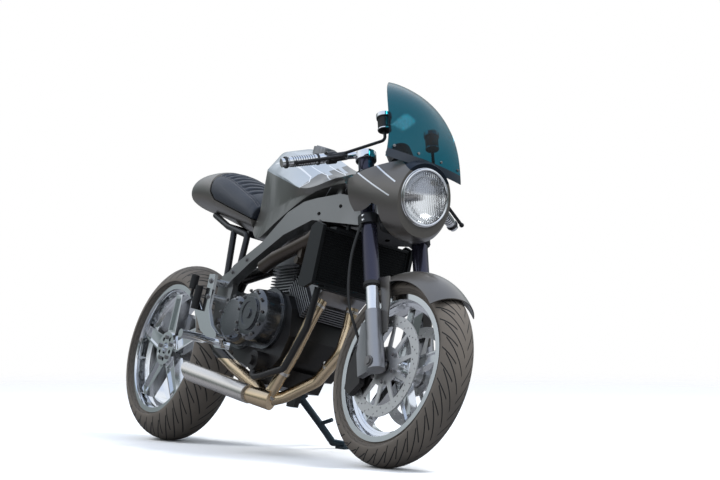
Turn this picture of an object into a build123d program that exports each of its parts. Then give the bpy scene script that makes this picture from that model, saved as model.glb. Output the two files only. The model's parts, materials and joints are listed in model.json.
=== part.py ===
from build123d import *
import os
from functools import cache
from math import acos, asin, atan2, cos, degrees, hypot, pi, radians, sin, sqrt

# Cafe racer motorcycle with a V twin, a beam frame and a one-sided rear arm, leaning on its side stand.
# Millimetres. Everything is drawn on the upright, straight bike: x forward from the rear axle,
# y to the left, z up from the road. The last section steers it, leans it and stands it on the floor.

# Stance
wheelbase = 1450
rake = 25.4
fork_offset = 36
lean = 13.7
steer_at_rest = 4.9

# Wheels: overall radius, radius of the tread's crown, half width between flanges, flange radius
front_radius, front_crown, front_half_rim = 300, 62, 44.5
rear_radius, rear_crown, rear_half_rim = 315, 92, 70
flange_radius, flange_thick, flange_height = 232.5, 5.5, 15.5
rim_wall, well_depth = 7, 17
tyre_wall = 9
spoke_count = 5
front_hub_radius, rear_hub_radius = 34, 60
axle_radius, axle_bore_radius, axle_half, spindle_radius = 12, 8, 132, 25
hub_bore_radius, hub_bore_depth = 20, 23
bearing_gap = 0.3
seat_gap = 0.3
run_gap = 5

# Brakes
front_disc_radius, front_disc_y, disc_thick = 158, 65, 5
rear_disc_radius, rear_disc_y = 128, 48
disc_band = 34
caliper_out, caliper_in = front_disc_y + 28, front_disc_y - 24

# Fork
fork_half_gap = 103
fork_tube_radius, slider_radius = 25.5, 21
lower_clamp_at, upper_clamp_at, bar_clamp_at, fork_top_at = 492, 655, 728, 745
clamp_thick = 34
tube_end_at = 268
stem_radius, head_radius = 14, 36
stem_bore_radius, stem_bore_depth = 8, 60
bar_radius, grip_radius = 11, 16.5

# Steering head, which places the front of the frame, the tank's nose and the radiator
head_x = wheelbase - 332

# Frame
spar_wall, spar_outside = 36, 170
pivot_x, pivot_z, pivot_radius = 505, 400, 12
plate_inside, plate_thick = 134, 20
frame_tube = 11

# Engine
crank_x, crank_z = 780, 400
case_half_width = 118
front_bank, bank_spread = 42, 52
fin_count, fin_pitch, fin_thick = 9, 10, 3.5
barrel_width, barrel_depth, fin_reach, head_grow = 150, 118, 18, 22
barrel_from, head_from, head_to = 112, 214, 284
cover_x, cover_z, cover_radius, cover_face_y = 790, 424, 92, 198
lobe_x, lobe_z, lobe_radius, lobe_face_y = 634, 412, 84, 182

# Drive
chain_y = 167
front_sprocket_x, front_sprocket_z = 585.5, 402
chain_pitch, rear_teeth, front_teeth = 15.875, 39, 15
link_inside, link_plate, link_half_height, link_end, roller_radius = 5, 1.7, 7.4, 7.1, 4.4
sprocket_half, tooth_above, tooth_below = 3.5, 4.5, 6

# Exhaust
header_radius, collector_radius, silencer_radius = 20, 27, 31

# Front of the bike
lamp_x, lamp_z, lamp_radius = head_x + 234, 855, 93
shell_thick = 4

# Side stand, on the leaning bike
stand_pivot = (653, 132, 212)
leg_radius = 12


# Ways of making shapes

def rod(start, end, radius):
    start, end = Vector(*start), Vector(*end)
    run = end - start
    return extrude(Plane(origin=start, z_dir=run) * Circle(radius), amount=run.length)


def tube(points, radius, bends):
    path = FilletPolyline(*points, radius=bends)
    return sweep(Plane(origin=path @ 0, z_dir=path % 0) * Circle(radius), path=path)


def side_slab(outline, y_low, y_high):
    """A plate that lies in the side view: outline in (x, z)."""
    plane = Plane(origin=(0, y_high, 0), x_dir=(1, 0, 0), z_dir=(0, -1, 0))
    return extrude(plane * make_face(Polyline(*outline, close=True)), amount=y_high - y_low)


def plan_slab(outline, z_low, z_high):
    """A plate that lies in the plan view: outline in (x, y)."""
    face = Plane(origin=(0, 0, z_low)) * make_face(Polyline(*outline, close=True))
    return extrude(face, amount=z_high - z_low)


def cross_disc(x, z, radius, y_low, y_high):
    return rod((x, y_low, z), (x, y_high, z), radius)


def main_solid(shape):
    """The one large solid that is left after a cut."""
    return shape.solids().sort_by(SortBy.VOLUME)[-1]


def both_sides(shape):
    return [shape, mirror(shape, about=Plane.XZ)]


def joined(*shapes):
    whole = shapes[0]
    for other in shapes[1:]:
        whole = whole + other
    return whole


def ring_about_axle(profile, x, z):
    """Turns a profile in (y, r) about a wheel's axle."""
    plane = Plane(origin=(x, 0, z), x_dir=(0, 1, 0), z_dir=(1, 0, 0))
    face = plane * make_face(profile)
    return revolve(face, axis=Axis((x, 0, z), (0, 1, 0)))


def lathe_polygon(points, x, z):
    return ring_about_axle(Polyline(*points, close=True), x, z)


def turned_about_axle(shape, x, z, angle):
    return Pos(x, 0, z) * Rot(0, angle, 0) * Pos(-x, 0, -z) * shape


def along_fork(at, side=0.0, ahead=0.0):
    """A point by its distance up the fork from the axle, to the side, and ahead of the fork legs."""
    x = wheelbase - at * sin(radians(rake)) + ahead * cos(radians(rake))
    z = front_radius + at * cos(radians(rake)) + ahead * sin(radians(rake))
    return (x, side, z)


def fork_plane(at):
    return Plane(origin=along_fork(at, 0, -fork_offset), x_dir=(cos(radians(rake)), 0, sin(radians(rake))),
                 z_dir=(-sin(radians(rake)), 0, cos(radians(rake))))


# Wheels

def rim_profile(half):
    outer = half + flange_thick
    seat = flange_radius - flange_height
    well = seat - well_depth
    slope = 0.45 * half
    return [(-outer, flange_radius), (-half, flange_radius), (-half, seat), (-slope - 8, seat), (-slope, well),
            (slope, well), (slope + 8, seat), (half, seat), (half, flange_radius), (outer, flange_radius),
            (outer, seat - 2), (half - 6, seat - rim_wall), (slope + 4, seat - rim_wall),
            (slope - 4, well - rim_wall), (-slope + 4, well - rim_wall), (-slope - 4, seat - rim_wall),
            (-half + 6, seat - rim_wall), (-outer, seat - 2)]


def tyre(x, radius, crown, half):
    seat = flange_radius - flange_height + seat_gap
    foot = half - seat_gap
    centre = radius - crown
    shoulder = radians(76)
    side_y, side_r = crown * sin(shoulder), centre + crown * cos(shoulder)
    in_crown = crown - tyre_wall
    in_y, in_r = in_crown * sin(shoulder), centre + in_crown * cos(shoulder)
    outline = [Line((-foot, seat), (-foot, flange_radius + seat_gap)),
               Line((-foot, flange_radius + seat_gap), (-side_y, side_r)),
               ThreePointArc((-side_y, side_r), (0, radius), (side_y, side_r)),
               Line((side_y, side_r), (foot, flange_radius + seat_gap)),
               Line((foot, flange_radius + seat_gap), (foot, seat)),
               Line((foot, seat), (foot - 11, seat)),
               Line((foot - 11, seat), (foot - 11, flange_radius + 4)),
               Line((foot - 11, flange_radius + 4), (in_y, in_r)),
               ThreePointArc((in_y, in_r), (0, radius - tyre_wall), (-in_y, in_r)),
               Line((-in_y, in_r), (-foot + 11, flange_radius + 4)),
               Line((-foot + 11, flange_radius + 4), (-foot + 11, seat)),
               Line((-foot + 11, seat), (-foot, seat))]
    return ring_about_axle(outline, x, radius)


def spoke(x, z, inner, outer, root, tip, y_low, y_high, channel):
    body = side_slab([(x - root, z + inner), (x + root, z + inner), (x + tip, z + outer), (x - tip, z + outer)],
                     y_low, y_high)
    groove = [(x - root + 7, z + inner + 16), (x + root - 7, z + inner + 16), (x + tip - 5, z + outer - 14),
              (x - tip + 5, z + outer - 14)]
    return body - side_slab(groove, y_high - channel, y_high + 1) - side_slab(groove, y_low - 1, y_low + channel)


def front_rim():
    x, z = wheelbase, front_radius
    well_inside = flange_radius - flange_height - well_depth - rim_wall
    whole = lathe_polygon(rim_profile(front_half_rim), x, z)
    hub_half = front_disc_y - disc_thick / 2 - 4
    whole += cross_disc(x, z, front_hub_radius, -hub_half, hub_half)
    for turn in range(spoke_count):
        arm = spoke(x, z, front_hub_radius - 6, well_inside + 4, 24, 17, -15, 15, 6)
        whole += turned_about_axle(arm, x, z, turn * 360 / spoke_count)
    return whole - cross_disc(x, z, axle_radius + bearing_gap, -hub_half - 1, hub_half + 1)


def rear_rim():
    x, z = 0, rear_radius
    well_inside = flange_radius - flange_height - well_depth - rim_wall
    whole = lathe_polygon(rim_profile(rear_half_rim), x, z)
    face_y = -rear_half_rim - flange_thick + 2
    whole += cross_disc(x, z, rear_hub_radius, face_y, -30)
    for turn in range(spoke_count):
        arm = spoke(x, z, rear_hub_radius - 8, well_inside + 4, 30, 22, -62, -24, 8)
        whole += turned_about_axle(arm, x, z, turn * 360 / spoke_count)
    whole -= cross_disc(x, z, hub_bore_radius, face_y - 1, face_y + hub_bore_depth)
    for turn in range(spoke_count):
        hole = cross_disc(x, z + 39, 7, face_y - 1, face_y + 18)
        whole -= turned_about_axle(hole, x, z, (turn + 0.5) * 360 / spoke_count)
    return whole - cross_disc(x, z, spindle_radius, face_y + 30, 0)


# Drilled rows of a disc: share of the band's width in from the rim, and turn in hole steps
disc_hole_rows = [(0.22, 0), (0.5, 0.33), (0.78, 0.67)]
disc_holes_in_row, disc_hole_radius = 20, 2.6


def brake_disc(x, z, radius, y, hub, bore):
    band = cross_disc(x, z, radius, y - disc_thick / 2, y + disc_thick / 2)
    band -= cross_disc(x, z, radius - disc_band, y - disc_thick, y + disc_thick)
    carrier_out = radius - disc_band + 6
    carrier = cross_disc(x, z, hub, y - disc_thick / 2, y + disc_thick / 2)
    for turn in range(10):
        arm = side_slab([(x - 9, z + hub - 4), (x + 9, z + hub - 4), (x + 5, z + carrier_out),
                         (x - 5, z + carrier_out)], y - disc_thick / 2, y + disc_thick / 2)
        carrier += turned_about_axle(arm, x, z, turn * 36)
    whole = band + carrier - cross_disc(x, z, bore, y - disc_thick, y + disc_thick)
    holes = []
    for share, turn in disc_hole_rows:
        for step in range(disc_holes_in_row):
            angle = radians((step + turn) * 360 / disc_holes_in_row)
            reach = radius - disc_band * share
            holes.append(cross_disc(x + reach * cos(angle), z + reach * sin(angle), disc_hole_radius,
                                    y - disc_thick, y + disc_thick))
    return whole - holes


def front_discs():
    hub_half = front_disc_y - disc_thick / 2 - 4
    one = brake_disc(wheelbase, front_radius, front_disc_radius, -front_disc_y, 62, axle_radius + run_gap + 4)
    one += (cross_disc(wheelbase, front_radius, 30, -front_disc_y, -hub_half)
            - cross_disc(wheelbase, front_radius, axle_radius + run_gap + 4, -front_disc_y - 1, -hub_half + 1))
    return both_sides(one)


def rear_disc():
    return brake_disc(0, rear_radius, rear_disc_radius, rear_disc_y, 52, spindle_radius)


def pitch_radius(teeth):
    return chain_pitch / 2 / sin(pi / teeth)


def sprocket(x, z, teeth, turn):
    """A disc whose teeth stand as tapered blocks between the chain's plates."""
    radius = pitch_radius(teeth)
    points = []
    for tooth in range(teeth):
        for share, height in ((-0.34, -tooth_below), (-0.13, tooth_above), (0.13, tooth_above), (0.34, -tooth_below)):
            angle = (tooth + share + turn) * 2 * pi / teeth
            reach = radius + height
            points.append((x + reach * cos(angle), z + reach * sin(angle)))
    return side_slab(points, chain_y - sprocket_half, chain_y + sprocket_half)


sprocket_windows = 6


def rear_spindle():
    """Turns with the rear wheel in the arm's bearing, and carries disc and sprocket."""
    face_y = -rear_half_rim - flange_thick + 2
    bar = cross_disc(0, rear_radius, spindle_radius, face_y + 30, chain_y + 14)
    wheel = sprocket(0, rear_radius, rear_teeth, 0)
    windows = []
    for turn in range(sprocket_windows):
        angle = turn * 2 * pi / sprocket_windows
        windows.append(cross_disc(62 * cos(angle), rear_radius + 62 * sin(angle), 15, chain_y - 9, chain_y + 9))
    return bar + (wheel - windows)


def front_axle():
    x, z = wheelbase, front_radius
    spacer_in = front_disc_y - disc_thick / 2 - 4 + 1
    axle = cross_disc(x, z, axle_radius, -axle_half, axle_half)
    for side in (-1, 1):
        near, far = sorted((side * spacer_in, side * (fork_half_gap - 30)))
        axle += cross_disc(x, z, axle_radius + 3, near, far)
    return axle - cross_disc(x, z, axle_bore_radius, -axle_half - 1, axle_half + 1)


# Fork, clamps and bars

def fork_tubes():
    return both_sides(rod(along_fork(tube_end_at, -fork_half_gap), along_fork(fork_top_at, -fork_half_gap),
                          fork_tube_radius))


def fork_sliders():
    return both_sides(rod(along_fork(70, -fork_half_gap), along_fork(tube_end_at, -fork_half_gap), slider_radius))


def fork_bottoms():
    axle_hole = cross_disc(wheelbase, front_radius, axle_radius, -140, 0)
    foot = rod(along_fork(-24, -fork_half_gap), along_fork(70, -fork_half_gap), 28)
    lug = side_slab([along_side(70, -20), along_side(150, -20), along_side(150, -46), along_side(60, -75),
                     along_side(-20, -75), along_side(-20, -20)], -fork_half_gap - 12, -caliper_out - seat_gap)
    sleeve = rod(along_fork(60, -fork_half_gap), along_fork(176, -fork_half_gap), slider_radius + 5)
    sleeve -= rod(along_fork(70, -fork_half_gap), along_fork(180, -fork_half_gap), slider_radius)
    return both_sides(joined(foot, sleeve, lug) - axle_hole
                      - rod(along_fork(70, -fork_half_gap), along_fork(180, -fork_half_gap), slider_radius))


def along_side(at, ahead):
    point = along_fork(at, 0, ahead)
    return (point[0], point[2])


def clamp(at, thick, reach):
    """A fork clamp: two rings and the bridge that holds the steering stem."""
    plane = fork_plane(at - thick / 2)
    centre = fork_offset
    web = [(-28, 0), (-18, -40), (centre - 14, -fork_half_gap - 4), (centre + 20, -fork_half_gap + 10),
           (centre + reach, -48), (centre + reach, 48), (centre + 20, fork_half_gap - 10),
           (centre - 14, fork_half_gap + 4), (-18, 40)]
    body = extrude(plane * make_face(Polyline(*web, close=True)), amount=thick)
    for side in (-1, 1):
        body += extrude(plane * Pos(centre, side * fork_half_gap) * Circle(fork_tube_radius + 9), amount=thick)
    body += extrude(plane * Circle(30), amount=thick)
    for side in (-1, 1):
        body -= extrude(plane * Pos(centre, side * fork_half_gap) * Circle(fork_tube_radius), amount=thick)
    return body


@cache
def triple_clamps():
    lower = clamp(lower_clamp_at, clamp_thick, 0)
    upper = clamp(upper_clamp_at, clamp_thick - 10, -4)
    stem = rod(along_fork(lower_clamp_at, 0, -fork_offset), along_fork(upper_clamp_at + 22, 0, -fork_offset),
               stem_radius)
    stem_bore = rod(along_fork(lower_clamp_at - clamp_thick, 0, -fork_offset),
                    along_fork(lower_clamp_at - clamp_thick / 2 + stem_bore_depth, 0, -fork_offset),
                    stem_bore_radius)
    return joined(lower, upper, stem) - stem_bore


# Right bar: its root beside the fork leg and its outer end
bar_root = (head_x, -128, 958)
bar_end = (head_x - 52, -346, 866)


def bar_point(share):
    return tuple(a + (b - a) * share for a, b in zip(bar_root, bar_end))


def clip_on_bars():
    ring_from, ring_to = bar_clamp_at - 14, bar_clamp_at + 14
    ring = rod(along_fork(ring_from, -fork_half_gap), along_fork(ring_to, -fork_half_gap), fork_tube_radius + 8)
    bar = rod(bar_root, bar_end, bar_radius)
    hole = rod(along_fork(ring_from - 5, -fork_half_gap), along_fork(ring_to + 5, -fork_half_gap), fork_tube_radius)
    weight = rod(bar_point(0.97), bar_point(1.06), grip_radius - 2)
    return both_sides(joined(ring, bar, weight) - hole)


def bar_grips():
    grip = rod(bar_point(0.46), bar_point(0.96), grip_radius)
    return both_sides(grip - rod(bar_point(0.0), bar_point(1.1), bar_radius))


lever_root = Vector(*bar_point(0.26)) + Vector(44, 0, 4)
lever_tip = Vector(*bar_point(0.98)) + Vector(54, 0, -2)


def control_lever():
    clamp_body = rod(bar_point(0.30), bar_point(0.42), 20)
    pump = rod(tuple(Vector(*bar_point(0.36)) + Vector(10, 0, 0)), tuple(lever_root), 14)
    blade = rod(tuple(lever_root), tuple(lever_tip), 5.5) + Pos(*lever_tip) * Sphere(8)
    hole = rod(bar_point(0), bar_point(1.1), bar_radius)
    return joined(clamp_body, pump, blade) - hole


def hand_controls():
    """The levers in their clamps, each with the fluid pot that stands on it."""
    up_fork = Vector(-sin(radians(rake)), 0, cos(radians(rake)))
    base = Vector(head_x + 80, -99, 1046)
    pot = rod(tuple(base), tuple(base + up_fork * 44), 21)
    cap = rod(tuple(base + up_fork * 44), tuple(base + up_fork * 60), 24)
    foot = lever_root + Vector(-4, 0, 10)
    stalk = tube([tuple(base + up_fork), tuple(base - up_fork * 34), tuple(foot)], 5, 16)
    return both_sides(joined(control_lever(), pot, cap, stalk))


# Fairing, lamp, screen and dial, which turn with the fork

def arc_section(x, width, z_low, z_high, bulge):
    """A closed section across the bike from four arcs: half width, height and how far its sides bulge."""
    mid = (z_low + z_high) / 2
    corner_y, corner_z = width * 0.74, (z_high - z_low) / 2 * 0.70
    points = [(-corner_y, mid - corner_z), (corner_y, mid - corner_z), (corner_y, mid + corner_z),
              (-corner_y, mid + corner_z)]
    middles = [(0, z_low), (width, mid + bulge), (0, z_high), (-width, mid + bulge)]
    arcs = []
    for step in range(4):
        arcs.append(ThreePointArc(points[step], middles[step], points[(step + 1) % 4]))
    plane = Plane(origin=(x, 0, 0), x_dir=(0, 1, 0), z_dir=(1, 0, 0))
    return plane * make_face(arcs)


# Fairing sections: how far ahead of the steering head, half width, lowest, highest
fairing_table = [(238, 103, 728, 962), (196, 134, 712, 978), (136, 166, 712, 988), (62, 184, 722, 996)]


@cache
def fairing():
    outer = loft([arc_section(head_x + at, w, low, high, 0) for at, w, low, high in fairing_table])
    t = shell_thick
    inner = loft([arc_section(head_x + at, w - t, low + t, high - t, 0) for at, w, low, high in fairing_table])
    front = head_x + fairing_table[0][0]
    inner = inner & side_slab([(head_x, 600), (front - t, 600), (front - t, 1100), (head_x, 1100)], -300, 300)
    shell = outer - inner
    shell -= rod((front - 60, 0, lamp_z), (front + 60, 0, lamp_z), lamp_radius + seat_gap)
    back = [(0, 1100), (192, 1100), (184, 945), (70, 862), (78, 791), (91, 752), (144, 736), (144, 650), (0, 650)]
    shell -= side_slab([(head_x + at, z) for at, z in back], -300, 300)
    fork_room = [(32, 600), (182, 600), (182, 790), (122, 812), (32, 812)]
    shell -= side_slab([(head_x + at, z) for at, z in fork_room], -142, 142)
    return main_solid(shell)


def about_lamp(profile):
    """Turns a profile in (forward, r) about the lamp's axis."""
    plane = Plane(origin=(0, 0, lamp_z), x_dir=(1, 0, 0), z_dir=(0, -1, 0))
    return revolve(plane * make_face(profile), axis=Axis((0, 0, lamp_z), (1, 0, 0)))


def headlight():
    rim, back = lamp_radius, lamp_x - 96
    return about_lamp(Polyline((back, 0), (back, 46), (lamp_x - 34, rim - 3), (lamp_x - 30, rim), (lamp_x + 4, rim),
                               (lamp_x + 6, rim - 3), (lamp_x + 6, rim - 8), (lamp_x - 6, rim - 9),
                               (lamp_x - 52, 44), (lamp_x - 62, 0), close=True))


def headlight_glass():
    rim = lamp_radius - 9 - seat_gap
    edge, crown = lamp_x + 3, lamp_x + 19
    dome = (rim ** 2 + (crown - edge) ** 2) / (2 * (crown - edge))
    halfway = (crown - dome + sqrt(dome ** 2 - rim ** 2 / 4), rim / 2)
    return about_lamp([Line((lamp_x - 1, 0), (lamp_x - 1, rim)), Line((lamp_x - 1, rim), (edge, rim)),
                       ThreePointArc((edge, rim), halfway, (crown, 0)),
                       Line((crown, 0), (lamp_x - 1, 0))])


# Screen sections: height, how far ahead of the steering head, half width, how far the sides sweep back
screen_table = [(962, 218, 156, 66), (1068, 190, 140, 72), (1170, 108, 104, 66), (1236, -40, 34, 18)]


def windscreen():
    sections = []
    for z, at, half, sweep_back in screen_table:
        x, t = head_x + at, 3.5
        outer = ThreePointArc((x - sweep_back, -half), (x, 0), (x - sweep_back, half))
        inner = ThreePointArc((x - sweep_back - t, half - 1), (x - t, 0), (x - sweep_back - t, -half + 1))
        ends = [Line((x - sweep_back, half), (x - sweep_back - t, half - 1)),
                Line((x - sweep_back - t, -half + 1), (x - sweep_back, -half))]
        sections.append(Plane(origin=(0, 0, z)) * make_face([outer, ends[0], inner, ends[1]]))
    return main_solid(loft(sections) - fairing())


def dial():
    """The dial's can on its post."""
    centre = along_fork(upper_clamp_at + 60, 0, 58)
    top = along_fork(upper_clamp_at + 108, 0, 40)
    whole = rod(centre, top, 40) + rod(along_fork(upper_clamp_at + 4, 0, -18), centre, 8)
    return whole - triple_clamps()


def lamp_arms():
    arm = rod(along_fork(lower_clamp_at + 8, -64, 0), (lamp_x - 66, -58, lamp_z - 6), 7)
    return both_sides(main_solid(arm - triple_clamps() - headlight()))


# Front mudguard and brakes

def front_mudguard():
    x, z = wheelbase, front_radius
    inside = front_radius + 10
    half, drop = 88, 46
    arc = [Line((-half, inside - drop), (-half + 4, inside - drop)),
           ThreePointArc((-half + 4, inside - drop), (0, inside), (half - 4, inside - drop)),
           Line((half - 4, inside - drop), (half, inside - drop)),
           ThreePointArc((half, inside - drop), (0, inside + 4), (-half, inside - drop))]
    ring = ring_about_axle(arc, x, z)
    keep = side_slab([(x, z), (x + 420 * cos(radians(48)), z + 420 * sin(radians(48))), (x + 150, z + 420),
                      (x - 150, z + 420), (x + 420 * cos(radians(113)), z + 420 * sin(radians(113)))], -120, 120)
    blade = ring & keep
    leg = side_slab([along_side(290, 20), along_side(276, 66), along_side(200, 62), along_side(130, 46),
                     along_side(96, 40), along_side(96, 16), along_side(150, 10)], -half, -half + 5)
    whole = joined(blade, leg, mirror(leg, about=Plane.XZ))
    for side in (-1, 1):
        whole -= rod(along_fork(60, side * fork_half_gap), along_fork(360, side * fork_half_gap), slider_radius + 5.3)
    return main_solid(whole)


def front_calipers():
    y_out, y_in = -caliper_out, -caliper_in
    # Outline: how far behind the axle, and how far above it
    outline = [(144, -86), (114, -104), (74, -64), (88, 0), (88, 48), (132, 52), (150, -10)]
    block = side_slab([(wheelbase - behind, front_radius + up) for behind, up in outline], y_out, y_in)
    slot = cross_disc(wheelbase, front_radius, 400, -front_disc_y - disc_thick / 2 - run_gap,
                      -front_disc_y + disc_thick / 2 + run_gap)
    inside_edge = cross_disc(wheelbase, front_radius, front_disc_radius + run_gap, -200, 200)
    return both_sides(block - (slot & inside_edge))


def front_brake_hoses():
    start = along_fork(lower_clamp_at - clamp_thick / 2 - seat_gap, -fork_half_gap - 30)
    # Hose: how far behind the axle, how far to the side, how far above the axle
    run = [(212, -136, 390), (200, -146, 300), (166, -140, 170), (134, -104, 92), (128, -82, 52 + seat_gap)]
    path = [start] + [(wheelbase - behind, side, front_radius + up) for behind, side, up in run]
    return both_sides(main_solid(tube(path, 4.5, 24) - triple_clamps() - front_calipers()[0]))


# Frame

# Beam seen from the side, and from above
spar_side = [(446, 560), (520, 574), (718, 670), (847, 768), (909, 808), (head_x - 81, 845), (head_x - 33, 842),
             (head_x + 7, 828), (head_x + 58, 765), (head_x + 48, 750), (head_x - 160, 750), (842, 690), (667, 602),
             (530, 520), (470, 516)]
spar_plan_outer = [(440, -spar_outside + 26), (560, -spar_outside), (850, -spar_outside), (head_x - 158, -138),
                   (head_x - 71, -96), (head_x + 62, -36)]
spar_plan_inner = [(head_x + 62, 6), (head_x - 93, -58), (head_x - 176, -100), (838, -spar_outside + spar_wall),
                   (560, -spar_outside + spar_wall), (440, -spar_outside + 26 + spar_wall)]
# Holes for a guard's bolts: x, z
spar_holes = [(head_x - 140, 773), (head_x - 71, 805)]
spar_hole_radius = 6


@cache
def main_frame():
    beam = side_slab(spar_side, -200, 0) & plan_slab(spar_plan_outer + spar_plan_inner, 400, 950)
    plate = side_slab([(452, 520), (470, 560), (540, 560), (556, 520), (548, 430), (552, 368), (505, 345),
                       (470, 360), (458, 430)], -plate_inside - plate_thick, -plate_inside)
    right = beam + plate
    whole = right + mirror(right, about=Plane.XZ)
    head = rod(along_fork(lower_clamp_at + 22, 0, -fork_offset), along_fork(upper_clamp_at - 18, 0, -fork_offset),
               head_radius)
    whole += head
    for x, z, half in ((500, 505, plate_inside + 6), (head_x - 152, 790, 92)):
        whole += cross_disc(x, z, 15, -half, half)
    whole -= cross_disc(pivot_x, pivot_z, pivot_radius, -200, 200)
    for side in (-1, 1):
        whole += rod((head_x - 108, side * 84, 800), (head_x - 108, side * 84, 890), 12)
    whole -= Pos(0, 0, -seat_gap) * fuel_tank()
    whole -= rod(along_fork(lower_clamp_at, 0, -fork_offset), along_fork(upper_clamp_at + 5, 0, -fork_offset),
                 stem_radius + bearing_gap)
    for x, z in spar_holes:
        whole -= cross_disc(x, z, spar_hole_radius, -200, 200)
    return whole


def engine_hangers():
    """Round tubes under the beams, which carry the cylinder heads."""
    right = tube([(728, -150, 592), (800, -152, 622), (head_x - 155, -128, 688), (head_x - 118, -112, 742)], 23, 40)
    head_side = (barrel_width + head_grow) / 2 + seat_gap
    right += cross_disc(930, 615, 12, -150, -head_side)
    right += side_slab([(918, 615), (942, 615), (942, 668), (918, 660)], -142, -124)
    return both_sides(main_solid(right - main_frame()))


@cache
def subframe():
    parts = []
    for side in (-1, 1):
        rail = tube([(500, side * 116, 590), (470, side * 96, 716), (300, side * 86, 752), (150, side * 66, 800)],
                    frame_tube, 30)
        stay = rod((352, side * 88, 742), (452, side * 130, 560), frame_tube)
        parts.append(rail + stay)
    tie = rod((300, -86, 752), (300, 86, 752), frame_tube)
    tank_tie = rod((466, -96, 722), (466, 96, 722), frame_tube) + rod((466, 0, 735), (530, 0, 735), 10)
    whole = joined(parts[0], parts[1], tie, tank_tie) - main_frame()
    return main_solid(whole - Pos(-seat_gap, 0, 0) * fuel_tank())


# Tank sections: x, then half width and height of the lower edge, the waist, the crease and the shoulder, then the top
tank_table = [(506, 100, 728, 88, 800, 94, 946, 62, 996, 1016), (600, 116, 704, 104, 800, 116, 929, 78, 1010, 1040),
              (700, 132, 742, 122, 806, 132, 903, 88, 988, 1026), (790, 142, 778, 136, 822, 148, 877, 96, 950, 1002),
              (880, 150, 812, 150, 830, 160, 854, 102, 910, 968), (head_x - 110, 134, 860, 136, 864, 148, 872, 96, 904, 940),
              (head_x - 16, 112, 876, 114, 879, 124, 884, 80, 900, 918)]


@cache
def fuel_tank():
    sections = []
    for x, low_y, low_z, waist_y, waist_z, wide_y, wide_z, top_y, top_z, crown in tank_table:
        right_side = [(low_y, low_z), (waist_y, waist_z), (wide_y, wide_z), (top_y, top_z)]
        left_side = [(-y, z) for y, z in reversed(right_side)]
        plane = Plane(origin=(x, 0, 0), x_dir=(0, 1, 0), z_dir=(1, 0, 0))
        sections.append(plane * make_face(Polyline(*right_side, (0, crown), *left_side, close=True)))
    body = loft(sections)
    leg_inside = 72
    leg_outside = fork_half_gap + fork_tube_radius + 30
    leg_room = (fork_plane(fork_top_at / 2) * Pos(30, (leg_inside + leg_outside) / 2)
                * Rectangle(170, leg_outside - leg_inside))
    for room in both_sides(extrude(leg_room, amount=fork_top_at)):
        body -= room
    return body


def filler_cap():
    cap = rod((700, 0, 1000), (704, 0, 1036), 40) + rod((704, 0, 1034), (705, 0, 1040), 32)
    return main_solid(cap - fuel_tank())


# Tail sections: x, half width, lowest, highest
tail_table = [(-104, 26, 868, 892), (-40, 84, 838, 944), (60, 112, 816, 966), (180, 122, 790, 964),
              (300, 122, 760, 930), (400, 118, 738, 890), (498, 112, 716, 838)]


@cache
def tail_body():
    return loft([arc_section(x, w, low, high, 0) for x, w, low, high in tail_table])


def pad_room():
    return side_slab([(128, 1000), (172, 872), (210, 842), (520, 762), (520, 1000)], -140, 140)


def tail_cowl():
    body = tail_body() - pad_room()
    hollow = loft([arc_section(x, w - 6, low + 40, high - 6, 0) for x, w, low, high in tail_table[1:4]])
    hollow = hollow & side_slab([(-60, 700), (150, 700), (150, 840), (-60, 900)], -140, 140)
    return main_solid(body - hollow - subframe() - fuel_tank())


def seat_pad():
    return main_solid((tail_body() & Pos(1.0, 0, 0.4) * pad_room()) - fuel_tank())


# Engine

@cache
def crankcase():
    case = side_slab([(562, 336), (600, 290), (700, 262), (860, 262), (905, 300), (936, 372), (915, 462),
                      (872, 506), (700, 516), (612, 500), (566, 440)], -case_half_width, case_half_width)
    sump = side_slab([(650, 270), (672, 214), (862, 214), (890, 270)], -78, 78)
    whole = case + sump
    reach = plate_inside - seat_gap
    for x, z in ((546, 478), (546, 364)):
        whole += cross_disc(x, z, 13, -reach, reach)
        whole += side_slab([(x, z - 12), (600, z - 12), (600, z + 12), (x, z + 12)], -60, 60)
    return whole


def right_cover():
    """Two domes on one flange, with a round plate over the front one."""
    y = -case_half_width
    flange_y = y - 12
    flange = cross_disc(cover_x, cover_z, cover_radius + 10, flange_y, y)
    flange += cross_disc(lobe_x, lobe_z, lobe_radius + 10, flange_y, y)
    flange += side_slab([(lobe_x, lobe_z - 78), (cover_x, cover_z - 102), (cover_x, cover_z + 80),
                         (lobe_x, lobe_z + 74)], flange_y, y)
    whole = flange
    for x, z, radius, face_y in ((cover_x, cover_z, cover_radius, cover_face_y),
                                 (lobe_x, lobe_z, lobe_radius, lobe_face_y)):
        whole += loft([Plane(origin=(x, flange_y, z), z_dir=(0, -1, 0)) * Circle(radius),
                       Plane(origin=(x, -face_y + 14, z), z_dir=(0, -1, 0)) * Circle(radius - 6),
                       Plane(origin=(x, -face_y, z), z_dir=(0, -1, 0)) * Circle(radius - 22)], ruled=True)
    whole += side_slab([(lobe_x, lobe_z - 52), (cover_x, cover_z - 66), (cover_x, cover_z + 56),
                        (lobe_x, lobe_z + 48)], -lobe_face_y + 4, flange_y)
    whole += cross_disc(cover_x, cover_z, 56, -cover_face_y - 8, -cover_face_y)
    whole -= cross_disc(cover_x, cover_z, 40, -cover_face_y - 9, -cover_face_y - 5)
    whole += cross_disc(cover_x, cover_z, 17, -cover_face_y - 10, -cover_face_y - 1)
    return main_solid(whole - crankcase())


def left_cover():
    y = case_half_width
    big = loft([Plane(origin=(crank_x, y, crank_z + 8), z_dir=(0, 1, 0)) * Circle(98),
                Plane(origin=(crank_x, y + 66, crank_z + 8), z_dir=(0, 1, 0)) * Circle(84)])
    return big + cross_disc(crank_x, crank_z + 8, 40, y + 60, y + 74)


def engine_covers():
    return [right_cover(), left_cover()]


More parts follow.
